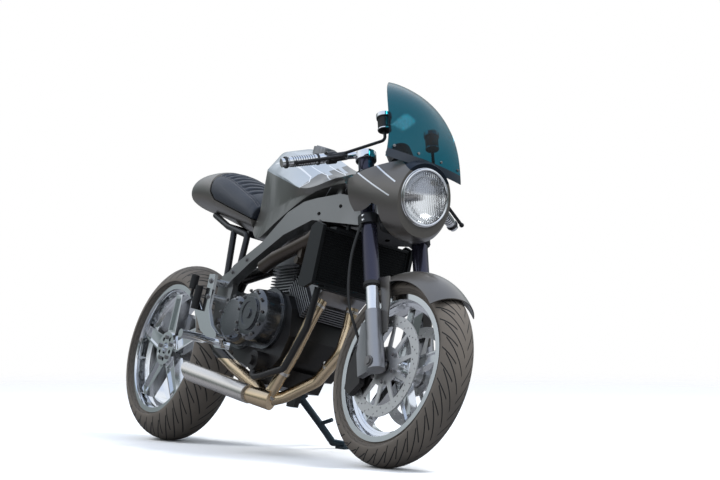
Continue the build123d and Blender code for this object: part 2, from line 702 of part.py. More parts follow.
def cylinder(bank):
    """A finned barrel with its head, along a bank angle from the crank."""
    direction = (cos(radians(bank)), 0, sin(radians(bank)))

    def block(start, end, width, depth):
        origin = (crank_x + direction[0] * start, 0, crank_z + direction[2] * start)
        plane = Plane(origin=origin, x_dir=(0, 1, 0), z_dir=direction)
        return extrude(plane * Rectangle(width, depth), amount=end - start)

    whole = block(barrel_from, head_from, barrel_width, barrel_depth)
    for fin in range(fin_count):
        start = barrel_from + 8 + fin * fin_pitch
        whole += block(start, start + fin_thick, barrel_width + 2 * fin_reach, barrel_depth + 2 * fin_reach - 10)
    whole += block(head_from, head_to, barrel_width + head_grow, barrel_depth + 18)
    whole += block(head_to, head_to + 14, barrel_width - 20, barrel_depth - 20)
    return whole


@cache
def front_cylinder():
    return main_solid(cylinder(front_bank) - crankcase())


@cache
def rear_cylinder():
    return main_solid(cylinder(front_bank + bank_spread) - crankcase() - front_cylinder() - main_frame())


def carburettors():
    """Two mixers side by side in the V, on one cross pipe."""
    middle = radians(front_bank + bank_spread / 2)
    low, mid, high = [(crank_x + at * cos(middle), crank_z + at * sin(middle)) for at in (242, 272, 318)]
    whole = cross_disc(mid[0], mid[1], 17, -84, 84)
    for y in (-46, 46):
        whole += rod((low[0], y, low[1]), (high[0], y, high[1]), 25)
        whole += rod((820, y, mid[1] - 6), (mid[0], y, mid[1]), 17)
        whole += rod((930, y, 606), (mid[0], y, mid[1]), 17)
    return main_solid(whole - front_cylinder() - rear_cylinder() - air_box())


def air_box():
    return side_slab([(836, 696), (930, 696), (936, 730), (912, 768), (870, 756), (836, 736)], -88, 88)


@cache
def radiator():
    back, front = head_x - 62, head_x - 30
    core = side_slab([(back, 540), (front, 540), (front, 717), (back, 717)], -164, 164)
    for side in (-1, 1):
        core += rod((back + 10, side * 62, 720), (back + 10, side * 62, 790), 8)
    for low, high in ((717, 730), (527, 540)):
        core += side_slab([(back - 4, low), (front + 4, low), (front + 4, high), (back - 4, high)], -120, 120)
    return main_solid(core - main_frame())


def radiator_shrouds():
    leaf = side_slab([(head_x - 100, 528), (head_x - 58, 520), (head_x - 14, 536), (head_x - 14, 724),
                      (head_x - 56, 736), (head_x - 88, 720)], -176, -164)
    return both_sides(leaf)


def water_pump():
    """The pump on the right of the crankcase, with the pipe that runs up to the radiator."""
    pump = cross_disc(806, 279, 33, -160, -case_half_width) + cross_disc(806, 279, 16, -174, -158)
    pipe_run = tube([(806, -150, 262), (812, -152, 222), (872, -148, 232), (968, -132, 262), (head_x - 70, -126, 400),
                     (head_x - 52, -126, 530)], 11, 22)
    return main_solid(pump + pipe_run - radiator() - crankcase())


@cache
def collector():
    """A cone from the two front pipes and the rear one into the silencer's neck."""
    start, end = Vector(884, -104, 160), Vector(806, -152, 168)
    run = end - start
    return loft([Plane(origin=start, z_dir=run) * Circle(collector_radius + 6),
                 Plane(origin=end, z_dir=run) * Circle(collector_radius)])


def front_headers():
    right = tube([(1024, -78, 500), (1018, -90, 462), (946, -92, 322), (880, -104, 196), (858, -112, 162)],
                 header_radius, 36)
    left = tube([(1022, 40, 500), (1024, 40, 440), (1034, 26, 350), (950, 10, 252), (880, -60, 180), (862, -100, 160)],
                header_radius, 60)
    return [main_solid(pipe_shape - collector() - front_cylinder()) for pipe_shape in (right, left)]


def rear_header():
    """From the back of the rear cylinder, down behind the engine and forward to the collector."""
    run = tube([(712, -34, 610), (600, -50, 606), (446, -66, 570), (424, -80, 450), (424, -92, 318),
                (591, -100, 258), (700, -110, 228), (790, -112, 200), (856, -118, 170)], header_radius + 2, 34)
    return main_solid(run - collector() - silencer() - rear_cylinder() - main_frame())


def exhaust_headers():
    return front_headers() + [rear_header()]


@cache
def silencer():
    body = rod((822, -156, 167), (436, -196, 222), silencer_radius)
    end_cut = side_slab([(380, 150), (470, 190), (420, 280), (380, 280)], -260, -140)
    bore = rod((700, -169, 184), (430, -196.6, 223), silencer_radius - 8)
    return main_solid(body - end_cut - bore - collector())


# Rear suspension and drive

# Arm sections: x, inner y, outer y, lowest, highest
arm_table = [(488, 72, 128, 362, 438), (410, 100, 150, 352, 432), (320, 102, 152, 330, 414),
             (60, 100, 150, 266, 364)]


@cache
def swingarm():
    sections = []
    for x, y_in, y_out, low, high in arm_table:
        plane = Plane(origin=(x, 0, 0), x_dir=(0, 1, 0), z_dir=(1, 0, 0))
        sections.append(plane * Polyline((y_in, low), (y_out, low), (y_out, high), (y_in, high), close=True))
    beam = loft([make_face(s) for s in sections], ruled=True)
    whole = beam + cross_disc(pivot_x, pivot_z, 30, -plate_inside + seat_gap, plate_inside - seat_gap)
    whole += cross_disc(0, rear_radius, 72, rear_disc_y + disc_thick / 2 + run_gap + 3, 150)
    bolt_end = plate_inside + plate_thick + 6
    whole += cross_disc(pivot_x, pivot_z, pivot_radius - seat_gap, -bolt_end, bolt_end)
    return main_solid(whole - cross_disc(0, rear_radius, spindle_radius + bearing_gap, 0, 200) - main_frame())


def rear_shock():
    """A single damper that leans behind the engine, from the frame's cross tube to the arm's pivot tube."""
    spring = rod((478, 30, 448), (494, 30, 482), 26)
    whole = rod((472, 30, 425), (500, 30, 500), 12) + spring
    return main_solid(whole - main_frame() - swingarm())


def front_sprocket():
    wheel = sprocket(front_sprocket_x, front_sprocket_z, front_teeth, 0.5)
    wheel += cross_disc(front_sprocket_x, front_sprocket_z, pitch_radius(front_teeth) - tooth_below / 2,
                        chain_y - link_inside + seat_gap, chain_y + link_inside - seat_gap)
    return wheel + cross_disc(front_sprocket_x, front_sprocket_z, 16, case_half_width, chain_y - sprocket_half)


class Course:
    """The chain's pitch line: from the back of the rear sprocket over the top, round the front one and home."""

    def __init__(self):
        rise = front_sprocket_z - rear_radius
        self.rear, self.front = pitch_radius(rear_teeth), pitch_radius(front_teeth)
        self.reach = hypot(front_sprocket_x, rise)
        self.slope = atan2(rise, front_sprocket_x)
        self.tangent = acos((self.rear - self.front) / self.reach)
        self.run = sqrt(self.reach ** 2 - (self.rear - self.front) ** 2)
        self.rear_arc = self.rear * (pi - self.tangent)
        self.front_arc = self.front * 2 * self.tangent
        self.length = 2 * (self.rear_arc + self.run) + self.front_arc
        self.links = 2 * round(self.length / chain_pitch / 2)

    def on_rear(self, angle, grow):
        reach = self.rear + grow
        return reach * cos(angle), rear_radius + reach * sin(angle)

    def on_front(self, angle, grow):
        reach = self.front + grow
        return front_sprocket_x + reach * cos(angle), front_sprocket_z + reach * sin(angle)

    def point(self, at, grow=0):
        """Where the line is after a distance, moved out by a growth; and whether that is on a straight run."""
        if at <= self.rear_arc:
            return self.on_rear(self.slope + pi - at / self.rear, grow), False
        at -= self.rear_arc
        if at < self.run:
            return self.between(self.slope + self.tangent, at / self.run, grow), True
        at -= self.run
        if at <= self.front_arc:
            return self.on_front(self.slope + self.tangent - at / self.front, grow), False
        at -= self.front_arc
        if at < self.run:
            return self.between(self.slope - self.tangent, 1 - at / self.run, grow), True
        return self.on_rear(self.slope - self.tangent - (at - self.run) / self.rear, grow), False

    def between(self, angle, share, grow):
        rear, front = self.on_rear(angle, grow), self.on_front(angle, grow)
        return rear[0] + (front[0] - rear[0]) * share, rear[1] + (front[1] - rear[1]) * share


def chain():
    """Two rows of inner plates joined by rollers, with outer plates on every second pair of pins."""
    course = Course()
    step = course.length / course.links
    corners = [course.rear_arc, course.rear_arc + course.run, course.rear_arc + course.run + course.front_arc,
               course.length - course.rear_arc]
    stops = [pin * step for pin in range(course.links) if not course.point(pin * step)[1]]
    stops = sorted(stops + corners)
    high = [course.point(at, link_half_height - 1.4)[0] for at in stops]
    low = [course.point(at, 1.4 - link_half_height)[0] for at in stops]
    inner_out, outer_out = link_inside + link_plate, link_inside + 2 * link_plate
    # Corners of an outer plate: along the link, across it
    end, shoulder, half = chain_pitch / 2 + link_end, chain_pitch / 2 + link_end - 4.5, link_half_height
    corner_table = [(-end, -3), (-shoulder, -half), (shoulder, -half), (end, -3), (end, 3), (shoulder, half),
                    (-shoulder, half), (-end, 3)]
    plates, rows = [], []
    for side in (-1, 1):
        near, far = sorted((chain_y + side * link_inside, chain_y + side * inner_out))
        rows.append(side_slab(high, near, far) - side_slab(low, near - 1, far + 1))
        near, far = sorted((chain_y + side * (inner_out - link_plate / 2), chain_y + side * outer_out))
        for pin in range(0, course.links, 2):
            (x1, z1), (x2, z2) = course.point(pin * step)[0], course.point((pin + 1) * step)[0]
            along = Vector(x2 - x1, 0, z2 - z1).normalized()
            across = Vector(-along.Z, 0, along.X)
            middle = Vector((x1 + x2) / 2, 0, (z1 + z2) / 2)
            outline = []
            for a, b in corner_table:
                corner = middle + along * a + across * b
                outline.append((corner.X, corner.Z))
            plates.append(side_slab(outline, near, far))
    rollers = []
    for pin in range(course.links):
        (x, z), straight = course.point(pin * step)
        clear_of_rear = hypot(x, z - rear_radius) > course.rear + tooth_above + roller_radius + run_gap
        clear_of_front = (hypot(x - front_sprocket_x, z - front_sprocket_z)
                          > course.front + tooth_above + roller_radius + seat_gap)
        if straight and clear_of_rear and clear_of_front:
            outline = [(x + roller_radius * cos(k * pi / 3), z + roller_radius * sin(k * pi / 3)) for k in range(6)]
            rollers.append(side_slab(outline, chain_y - link_inside - link_plate / 2,
                                     chain_y + link_inside + link_plate / 2))
    return rows[0].fuse(rows[1], *plates, *rollers)


def rear_caliper():
    y_low, y_high = rear_disc_y - 26, rear_disc_y + 30
    block = side_slab([(-104, 412), (-80, 386), (-34, 400), (-30, 446), (-70, 462), (-108, 448)], y_low, y_high)
    slot = side_slab([(-160, 350), (40, 350), (40, 500), (-160, 500)], rear_disc_y - disc_thick / 2 - run_gap,
                     rear_disc_y + disc_thick / 2 + run_gap)
    slot = slot & cross_disc(0, rear_radius, rear_disc_radius + run_gap, -200, 200)
    arm = side_slab([(-60, 400), (-34, 400), (-10, 360), (-10, 330), (-40, 330)],
                    rear_disc_y + disc_thick / 2 + run_gap + 3, rear_disc_y + 30)
    turning = cross_disc(0, rear_radius, spindle_radius + run_gap, -200, 200)
    return main_solid(block - slot + arm - turning - swingarm())


# Rider's controls

hanger_y, hanger_thick = 196, 12


@cache
def right_hanger():
    outline = [(452, 556), (492, 556), (496, 440), (540, 380), (640, 328), (700, 324), (700, 300), (600, 306),
               (470, 362), (380, 452), (366, 476), (392, 484), (450, 432)]
    plate = side_slab(outline, -hanger_y, -hanger_y + hanger_thick)
    for x, z in ((474, 532), (472, 478)):
        plate += cross_disc(x, z, 13, -hanger_y + hanger_thick - 2, -plate_inside - plate_thick)
    return plate - main_frame()


def footrest_hangers():
    return both_sides(right_hanger())


def foot_pegs():
    right = cross_disc(598, 324, 11, -300, -hanger_y) + cross_disc(598, 324, 15, -330, -244)
    return both_sides(right)


def rear_master_cylinder():
    y = -hanger_y - 13 - seat_gap
    body = rod((420, y, 432), (426, y, 512), 13) + rod((386, y - 4, 500), (388, y - 4, 548), 14)
    hose = tube([(388, y - 4, 501), (386, y - 4, 478), (414, y, 446)], 5, 8)
    return body + hose - right_hanger()


def brake_pedal():
    y = -hanger_y - 14
    arm = tube([(672, y, 314), (716, y - 24, 312), (760, y - 60, 328)], 7, 30)
    boss = cross_disc(672, 314, 11, y - 6, -hanger_y)
    tip = cross_disc(760, 328, 9, y - 80, y - 50)
    return joined(arm, boss, tip)


def foot_controls():
    return foot_pegs() + [brake_pedal()]


# Side stand

stand_knee, stand_mid = (648, 296, 92), (668, 220, 140)
stand_folded = (-1, 0.14, 0.02)
eye_half, eye_radius, pin_radius = 12, 16, 7


def stand_axis():
    """Across the leg and the way it folds back."""
    leg = Vector(*stand_mid) - Vector(*stand_pivot)
    return leg.cross(Vector(*stand_folded)).normalized()


def stand_bracket():
    pivot, axis = Vector(*stand_pivot), stand_axis()
    inward = Vector(0.3, -1, 0.5)
    inward -= axis * inward.dot(axis)
    gap = eye_half + 1
    lugs = None
    for near, far in ((gap, gap + 9), (-gap - 9, -gap)):
        lug = rod(tuple(pivot + axis * near), tuple(pivot + axis * far), eye_radius)
        lugs = lug if lugs is None else lugs + lug
        for step in (8, 16, 24):
            away = inward * step
            lugs += rod(tuple(pivot + axis * near + away), tuple(pivot + axis * far + away), eye_radius)
    pin = rod(tuple(pivot - axis * (gap + 12)), tuple(pivot + axis * (gap + 12)), pin_radius - bearing_gap)
    x, y, z = stand_pivot
    web = side_slab([(x - 10, z - 40), (x + 40, z - 40), (x + 60, z + 90), (x - 30, z + 90)], case_half_width - 26,
                    case_half_width - 8)
    web += side_slab([(x - 20, z + 50), (x + 54, z + 50), (x + 60, z + 100), (x - 30, z + 100)],
                     case_half_width - 26, case_half_width + 8)
    return main_solid(joined(lugs, pin, web) - crankcase())


# Standing the bike on the floor

def lean_and_pitch(pitch, lift):
    return Pos(0, 0, lift) * Rot(0, pitch, 0) * Rot(-lean, 0, 0)


steer_foot = along_fork(0, 0, -fork_offset)
steer_axis = Axis(steer_foot, tuple(Vector(*along_fork(100, 0, -fork_offset)) - Vector(*steer_foot)))


def moved_point(place, point):
    return (place * Pos(*point)).position


def steered_point(point):
    """Where a point of the straight fork is when the bars are turned as they are at rest."""
    return Vector(*steer_foot) + (Vector(*point) - Vector(*steer_foot)).rotate(steer_axis, steer_at_rest)


def settle():
    pitch, lift = 0.0, 0.0
    front_centre = tuple(steered_point((wheelbase, 0, front_radius)))
    front_side = tuple(steered_point((wheelbase, 1, front_radius)))
    for _ in range(6):
        place = lean_and_pitch(pitch, lift)
        heights = []
        for hub_at, side_at, radius, crown in (((0, 0, rear_radius), (0, 1, rear_radius), rear_radius, rear_crown),
                                               (front_centre, front_side, front_radius, front_crown)):
            hub = moved_point(place, hub_at)
            axle = (moved_point(place, side_at) - hub).normalized()
            heights.append(hub.Z - (radius - crown) * sqrt(1 - axle.Z ** 2) - crown)
        lift -= heights[0]
        pitch += degrees(asin((heights[1] - heights[0]) / wheelbase))
    return pitch, lift


pitch_at_rest, lift_at_rest = settle()
stance = lean_and_pitch(pitch_at_rest, lift_at_rest)

foot_rise = leg_radius + 8
floor_knee = moved_point(stance, stand_knee)
stand_foot_centre = (floor_knee.X + 40, floor_knee.Y + 26, 0)


def side_stand():
    """Built on the floor: the leg from its pivot down to a flat foot."""
    pivot, mid = moved_point(stance, stand_pivot), moved_point(stance, stand_mid)
    tip = moved_point(stance, tuple(Vector(*stand_pivot) + stand_axis()))
    axis = (tip - pivot).normalized()
    knee = Vector(floor_knee.X, floor_knee.Y, foot_rise)
    foot = Vector(stand_foot_centre[0], stand_foot_centre[1], foot_rise - 6)
    eye = rod(tuple(pivot - axis * eye_half), tuple(pivot + axis * eye_half), eye_radius)
    leg = rod(tuple(pivot), tuple(mid), leg_radius) + rod(tuple(mid), tuple(knee), leg_radius)
    toe = rod(tuple(knee), tuple(foot), leg_radius)
    pad = Pos(foot.X, foot.Y, 4) * Box(60, 44, 8)
    spur = rod(tuple(mid), tuple(mid + Vector(50, 18, 16)), 7)
    knuckles = Pos(*mid) * Sphere(leg_radius) + Pos(*knee) * Sphere(leg_radius)
    hole = rod(tuple(pivot - axis * 40), tuple(pivot + axis * 40), pin_radius)
    floor = Pos(0, 0, -50) * Box(4000, 4000, 100)
    return joined(eye, leg, toe, pad, spur, knuckles) - hole - floor


# Pieces by body

frame_pieces = {
    "main_frame": main_frame, "engine_hangers": engine_hangers, "subframe": subframe, "fuel_tank": fuel_tank,
    "filler_cap": filler_cap, "tail_cowl": tail_cowl, "seat_pad": seat_pad, "crankcase": crankcase,
    "engine_covers": engine_covers, "front_cylinder": front_cylinder,
    "rear_cylinder": rear_cylinder, "carburettors": carburettors, "air_box": air_box, "radiator": radiator,
    "radiator_shrouds": radiator_shrouds, "water_pump": water_pump,
    "exhaust_headers": exhaust_headers, "exhaust_collector": collector,
    "silencer": silencer, "swingarm": swingarm, "rear_shock": rear_shock,
    "front_sprocket": front_sprocket, "drive_chain": chain, "rear_caliper": rear_caliper,
    "footrest_hangers": footrest_hangers, "foot_controls": foot_controls,
    "rear_master_cylinder": rear_master_cylinder, "stand_bracket": stand_bracket}
fork_pieces = {
    "triple_clamps": triple_clamps, "fork_tubes": fork_tubes, "fork_sliders": fork_sliders,
    "fork_bottoms": fork_bottoms, "clip_on_bars": clip_on_bars, "bar_grips": bar_grips,
    "hand_controls": hand_controls, "fairing": fairing,
    "headlight": headlight, "headlight_glass": headlight_glass, "windscreen": windscreen, "dial": dial,
    "lamp_arms": lamp_arms, "front_mudguard": front_mudguard, "front_calipers": front_calipers,
    "front_brake_hoses": front_brake_hoses, "front_axle": front_axle, "front_rim": front_rim,
    "front_discs": front_discs}


def front_tyre():
    return tyre(wheelbase, front_radius, front_crown, front_half_rim)


def rear_tyre():
    return tyre(0, rear_radius, rear_crown, rear_half_rim)


fork_pieces["front_tyre"] = front_tyre
rear_pieces = {"rear_rim": rear_rim, "rear_tyre": rear_tyre, "rear_disc": rear_disc,
               "rear_spindle": rear_spindle}
stand_pieces = {"side_stand": side_stand}


def solids_of(shape):
    shapes = shape if isinstance(shape, list) else [shape]
    found = []
    for one in shapes:
        found.extend(one.solids())
    return found


def build_all():
    nodes = {}
    for name, make in {**frame_pieces, **rear_pieces}.items():
        nodes[name] = [stance * solid for solid in solids_of(make())]
    for name, make in fork_pieces.items():
        turned = [solid.rotate(steer_axis, steer_at_rest) for solid in solids_of(make())]
        nodes[name] = [stance * solid for solid in turned]
    for name, make in stand_pieces.items():
        nodes[name] = solids_of(make())
    return nodes


nodes = build_all()
box = Compound([solid for solids in nodes.values() for solid in solids]).bounding_box()
middle = ((box.min.X + box.max.X) / 2, (box.min.Y + box.max.Y) / 2)
home = Pos(-middle[0], -middle[1], -box.min.Z)

os.makedirs("parts", exist_ok=True)
for name, solids in nodes.items():
    placed = [home * solid for solid in solids]
    export_step(placed[0] if len(placed) == 1 else Compound(placed), f"parts/{name}.step")
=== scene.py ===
"""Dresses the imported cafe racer: finishes, tyres with tread, seat, lamp, hoses and small parts.

Pieces are modelled in millimetres on the upright, straight motorcycle: x forward from the rear axle,
y to the left, z up from the road. Each is then set on the leaning one by its body's own matrix.
"""
import json
from math import asin, atan2, cos, pi, radians, sin, sqrt

import bmesh
import bpy
from mathutils import Matrix, Vector
from mathutils.bvhtree import BVHTree

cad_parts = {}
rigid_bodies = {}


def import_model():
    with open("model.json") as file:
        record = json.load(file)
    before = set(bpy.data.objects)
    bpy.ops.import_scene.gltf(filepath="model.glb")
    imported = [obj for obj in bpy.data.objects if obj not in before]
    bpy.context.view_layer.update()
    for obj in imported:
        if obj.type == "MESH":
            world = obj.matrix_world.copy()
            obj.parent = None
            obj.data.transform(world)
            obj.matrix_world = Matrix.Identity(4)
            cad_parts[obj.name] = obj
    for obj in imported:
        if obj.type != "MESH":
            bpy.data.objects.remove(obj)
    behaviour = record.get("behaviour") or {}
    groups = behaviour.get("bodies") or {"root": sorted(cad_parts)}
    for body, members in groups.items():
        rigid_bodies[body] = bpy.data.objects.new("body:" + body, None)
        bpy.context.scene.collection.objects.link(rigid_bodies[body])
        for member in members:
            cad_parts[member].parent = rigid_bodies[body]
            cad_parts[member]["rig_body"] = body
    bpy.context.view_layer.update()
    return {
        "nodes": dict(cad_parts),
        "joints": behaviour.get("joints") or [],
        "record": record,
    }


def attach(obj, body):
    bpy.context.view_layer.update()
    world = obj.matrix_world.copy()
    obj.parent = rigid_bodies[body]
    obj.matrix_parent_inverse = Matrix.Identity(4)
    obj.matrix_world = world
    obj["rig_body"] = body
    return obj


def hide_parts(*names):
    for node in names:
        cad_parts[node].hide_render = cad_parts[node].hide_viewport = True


bl_info = {
    "name": "Cafe Racer Dresser",
    "version": (1, 0, 0),
    "blender": (4, 5, 0),
    "location": "View3D > Sidebar > Cafe Racer",
    "description": "Finishes and fine pieces for a parked cafe racer motorcycle",
    "category": "Object",
}

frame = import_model()
joints = {joint["name"]: joint for joint in frame["joints"]}

# The motorcycle, upright
WHEELBASE, RAKE, FORK_OFFSET = 1450, radians(25.4), 36
STEER_AT_REST = radians(4.9)
FRONT_RADIUS, REAR_RADIUS = 300, 315

# The camera of the photograph, from the rear axle, in metres and degrees
CAMERA_FROM_AXLE = Vector((7.6897, -3.9795, 0.2691))
CAMERA_YAW, CAMERA_PITCH, CAMERA_ROLL = radians(58.469), radians(0.886), radians(0.121)
CAMERA_FOCAL_PIXELS, PICTURE_WIDTH, SENSOR_WIDTH = 2424.5, 720, 36


def along_fork(at, side=0.0, ahead=0.0):
    """A point by its distance up the fork from the axle, to the side, and ahead of the fork legs."""
    return Vector((WHEELBASE - at * sin(RAKE) + ahead * cos(RAKE), side,
                   FRONT_RADIUS + at * cos(RAKE) + ahead * sin(RAKE)))


def leaning_place():
    """From the upright motorcycle in millimetres to the parked one in metres."""
    across = Vector(joints["rear_wheel_spin"]["axis"])
    up_fork = Vector(joints["steering_turn"]["axis"])
    ahead = across.cross(up_fork)
    forward = cos(RAKE) * ahead - sin(RAKE) * up_fork
    up = sin(RAKE) * ahead + cos(RAKE) * up_fork
    turn = Matrix((forward, across, up)).transposed().to_4x4()
    hub = Matrix.Translation(joints["rear_wheel_spin"]["pos_m"])
    return hub @ turn @ Matrix.Scale(0.001, 4) @ Matrix.Translation((0, 0, -REAR_RADIUS))


def steered_place():
    """The same for what turns with the fork."""
    foot = along_fork(0, 0, -FORK_OFFSET)
    axis = along_fork(100, 0, -FORK_OFFSET) - foot
    turn = Matrix.Rotation(STEER_AT_REST, 4, axis)
    return leaning_place() @ Matrix.Translation(foot) @ turn @ Matrix.Translation(-foot)


leaning, steered = leaning_place(), steered_place()
PLACE = {"frame": leaning, "rear_wheel": leaning, "side_stand": leaning, "steering": steered,
         "front_wheel": steered}


# Node groups and finishes

COLOR, FLOAT, VECTOR = "NodeSocketColor", "NodeSocketFloat", "NodeSocketVector"


def new_group(name, inputs, outputs):
    """An empty shader node group: inputs (name, kind, value), outputs (name, kind)."""
    tree = bpy.data.node_groups.new(name, "ShaderNodeTree")
    for label, kind, value in inputs:
        tree.interface.new_socket(label, in_out="INPUT", socket_type=kind).default_value = value
    for label, kind in outputs:
        tree.interface.new_socket(label, in_out="OUTPUT", socket_type=kind)
    return tree, tree.nodes.new("NodeGroupInput").outputs, tree.nodes.new("NodeGroupOutput").inputs


def feed(socket, value):
    """Links another node's output to the socket, or sets the socket's own value."""
    if isinstance(value, bpy.types.NodeSocket):
        socket.id_data.links.new(value, socket)
    else:
        socket.default_value = value


def fill(node, **values):
    """Sets a node's properties, and sets or links its inputs where the name is one of them."""
    for key, value in values.items():
        if hasattr(node, key):
            setattr(node, key, value)
        else:
            feed(node.inputs[key.replace("_", " ")], value)
    return node


def add(tree, kind, **values):
    """A new node, filled in."""
    return fill(tree.nodes.new(kind), **values)


def use_group(tree, name, **values):
    """One of the node groups below, filled in. Gives its outputs."""
    return add(tree, "ShaderNodeGroup", node_tree=bpy.data.node_groups[name], **values).outputs


def fed_in_order(node, values):
    """Sets or links the node's inputs from the first on. Gives its outputs."""
    for socket, value in zip(node.inputs, values):
        feed(socket, value)
    return node.outputs


def maths(tree, operation, *values):
    """A sum of up to three numbers, each a value or another node's output."""
    return fed_in_order(add(tree, "ShaderNodeMath", operation=operation), values)[0]


def vectors(tree, operation, *values):
    """Vector maths: a number for a dot product or a length, or else a vector."""
    outputs = fed_in_order(add(tree, "ShaderNodeVectorMath", operation=operation), values)
    return outputs["Value" if operation in ("DOT_PRODUCT", "LENGTH") else "Vector"]


def mixed(tree, factor, first, second):
    """The first colour where the factor is 0, the second where it is 1."""
    mix = add(tree, "ShaderNodeMix", data_type="RGBA", Factor=factor)
    feed(mix.inputs[6], first)
    feed(mix.inputs[7], second)
    return mix.outputs[2]


def between(tree, value, low, high):
    """A mask for what lies between two levels."""
    return maths(tree, "MULTIPLY", maths(tree, "GREATER_THAN", value, low),
                 maths(tree, "LESS_THAN", value, high))


def object_point(tree):
    return tree.nodes.new("ShaderNodeTexCoord").outputs["Object"]


def split_point(tree, point):
    return add(tree, "ShaderNodeSeparateXYZ", Vector=point).outputs


def build_grain():
    """Uneven colour, gloss and fine relief, stretched along an axis for brushed metal."""
    tree, into, out = new_group("grain", [
        ("Color", COLOR, (0.5, 0.5, 0.5, 1)), ("Spread", FLOAT, 0.1), ("Stretch", VECTOR, (1, 1, 1)),
        ("Scale", FLOAT, 60.0), ("Roughness", FLOAT, 0.4), ("Roughness Spread", FLOAT, 0.1),
        ("Relief", FLOAT, 0.1)], [("Color", COLOR), ("Roughness", FLOAT), ("Normal", VECTOR)])
    place = object_point(tree)
    broad = add(tree, "ShaderNodeTexNoise", Vector=place, Scale=7.0, Detail=3.0).outputs["Fac"]
    stretched = vectors(tree, "MULTIPLY", place, into["Stretch"])
    fine = add(tree, "ShaderNodeTexNoise", Vector=stretched, Scale=into["Scale"], Detail=4.0).outputs["Fac"]
    centred = maths(tree, "SUBTRACT", maths(tree, "ADD", broad, fine), 1.0)
    factor = maths(tree, "MULTIPLY_ADD", centred, into["Spread"], 1.0)
    shade = add(tree, "ShaderNodeVectorMath", operation="SCALE", Vector=into["Color"], Scale=factor)
    feed(out["Color"], shade.outputs[0])
    feed(out["Roughness"], maths(tree, "MULTIPLY_ADD", centred, into["Roughness Spread"], into["Roughness"]))
    bump = add(tree, "ShaderNodeBump", Distance=0.0004, Strength=into["Relief"], Height=fine)
    feed(out["Normal"], bump.outputs["Normal"])


DUST_ROUGHNESS = 0.5


def build_road_dust():
    """Pale, rough dust that thins out with height above the road."""
    tree, into, out = new_group("road_dust", [
        ("Color", COLOR, (0.5, 0.5, 0.5, 1)), ("Roughness", FLOAT, 0.4),
        ("Dust", COLOR, (0.3, 0.26, 0.22, 1)), ("Top", FLOAT, 0.5), ("Amount", FLOAT, 0.5)],
        [("Color", COLOR), ("Roughness", FLOAT)])
    place = object_point(tree)
    low = maths(tree, "SUBTRACT", 1.0, maths(tree, "DIVIDE", split_point(tree, place)["Z"], into["Top"]))
    low.node.use_clamp = True
    patches = add(tree, "ShaderNodeTexNoise", Vector=place, Scale=26.0, Detail=6.0).outputs["Fac"]
    strength = maths(tree, "MULTIPLY", low, maths(tree, "MULTIPLY", patches, into["Amount"]))
    feed(out["Color"], mixed(tree, strength, into["Color"], into["Dust"]))
    feed(out["Roughness"], maths(tree, "MULTIPLY_ADD", strength, DUST_ROUGHNESS, into["Roughness"]))


def build_upright():
    """A point in millimetres on the upright motorcycle, with both sides folded into one."""
    tree, into, out = new_group("upright", [
        ("Row X", VECTOR, (1, 0, 0)), ("Row Y", VECTOR, (0, 1, 0)), ("Row Z", VECTOR, (0, 0, 1)),
        ("Offset", VECTOR, (0, 0, 0))], [("Point", VECTOR)])
    place = object_point(tree)
    offset = split_point(tree, into["Offset"])
    point = tree.nodes.new("ShaderNodeCombineXYZ")
    for index, row in enumerate(("Row X", "Row Y", "Row Z")):
        value = maths(tree, "ADD", vectors(tree, "DOT_PRODUCT", place, into[row]), offset[index])
        feed(point.inputs[index], maths(tree, "ABSOLUTE", value) if row == "Row Y" else value)
    feed(out["Point"], point.outputs[0])


def build_strip():
    """A mask for a straight painted strip: from its start along a direction, half a width to each side."""
    tree, into, out = new_group("strip", [
        ("Point", VECTOR, (0, 0, 0)), ("Start", VECTOR, (0, 0, 0)), ("Along", VECTOR, (1, 0, 0)),
        ("Across", VECTOR, (0, 0, 1)), ("Length", FLOAT, 10.0), ("Half", FLOAT, 1.0)], [("Mask", FLOAT)])
    away = vectors(tree, "SUBTRACT", into["Point"], into["Start"])
    on, off = (vectors(tree, "DOT_PRODUCT", away, into[way]) for way in ("Along", "Across"))
    inside = maths(tree, "LESS_THAN", maths(tree, "ABSOLUTE", off), into["Half"])
    feed(out["Mask"], maths(tree, "MULTIPLY", inside, between(tree, on, 0.0, into["Length"])))


def upright_point(tree, body):
    """The surface's own point on the upright motorcycle, for a piece on this body."""
    rows = PLACE[body].inverted()
    return use_group(tree, "upright", Row_X=rows[0].xyz, Row_Y=rows[1].xyz, Row_Z=rows[2].xyz,
                     Offset=rows.translation)["Point"]


def strips_mask(tree, point, flat, rows):
    """Rows: start and end in mm, half width. The strips are flat as seen along the flat direction."""
    mask = None
    for start, end, half in rows:
        start, end = Vector(start), Vector(end)
        along = (end - start).normalized()
        one = use_group(tree, "strip", Point=point, Start=start, Along=along, Length=(end - start).length,
                        Across=along.cross(Vector(flat)).normalized(), Half=half)["Mask"]
        mask = one if mask is None else maths(tree, "MAXIMUM", mask, one)
    return mask


def beyond(tree, point, direction, level):
    """A mask for what lies past a plane."""
    return maths(tree, "GREATER_THAN", vectors(tree, "DOT_PRODUCT", point, direction), level)


def paint_over(tree, *layers):
    """Lays colours over the grain's own colour, each where its mask is 1. Layer: mask, colour."""
    grain = next(node for node in tree.nodes if node.type == "GROUP" and node.node_tree.name == "grain")
    under = grain.outputs["Color"]
    for mask, colour in layers:
        under = mixed(tree, mask, under, (*colour, 1))
    feed(tree.nodes["Principled BSDF"].inputs["Base Color"], under)


# Near black laid on the rear header behind one plane and above another
REAR_HEADER_DARK = (0.035, 0.033, 0.032)
WHITE, NAVY, SILVER = (0.72, 0.74, 0.76), (0.006, 0.012, 0.022), (0.42, 0.46, 0.50)
SIDEWAYS, UPWARD = (0, 1, 0), (0, 0, 1)
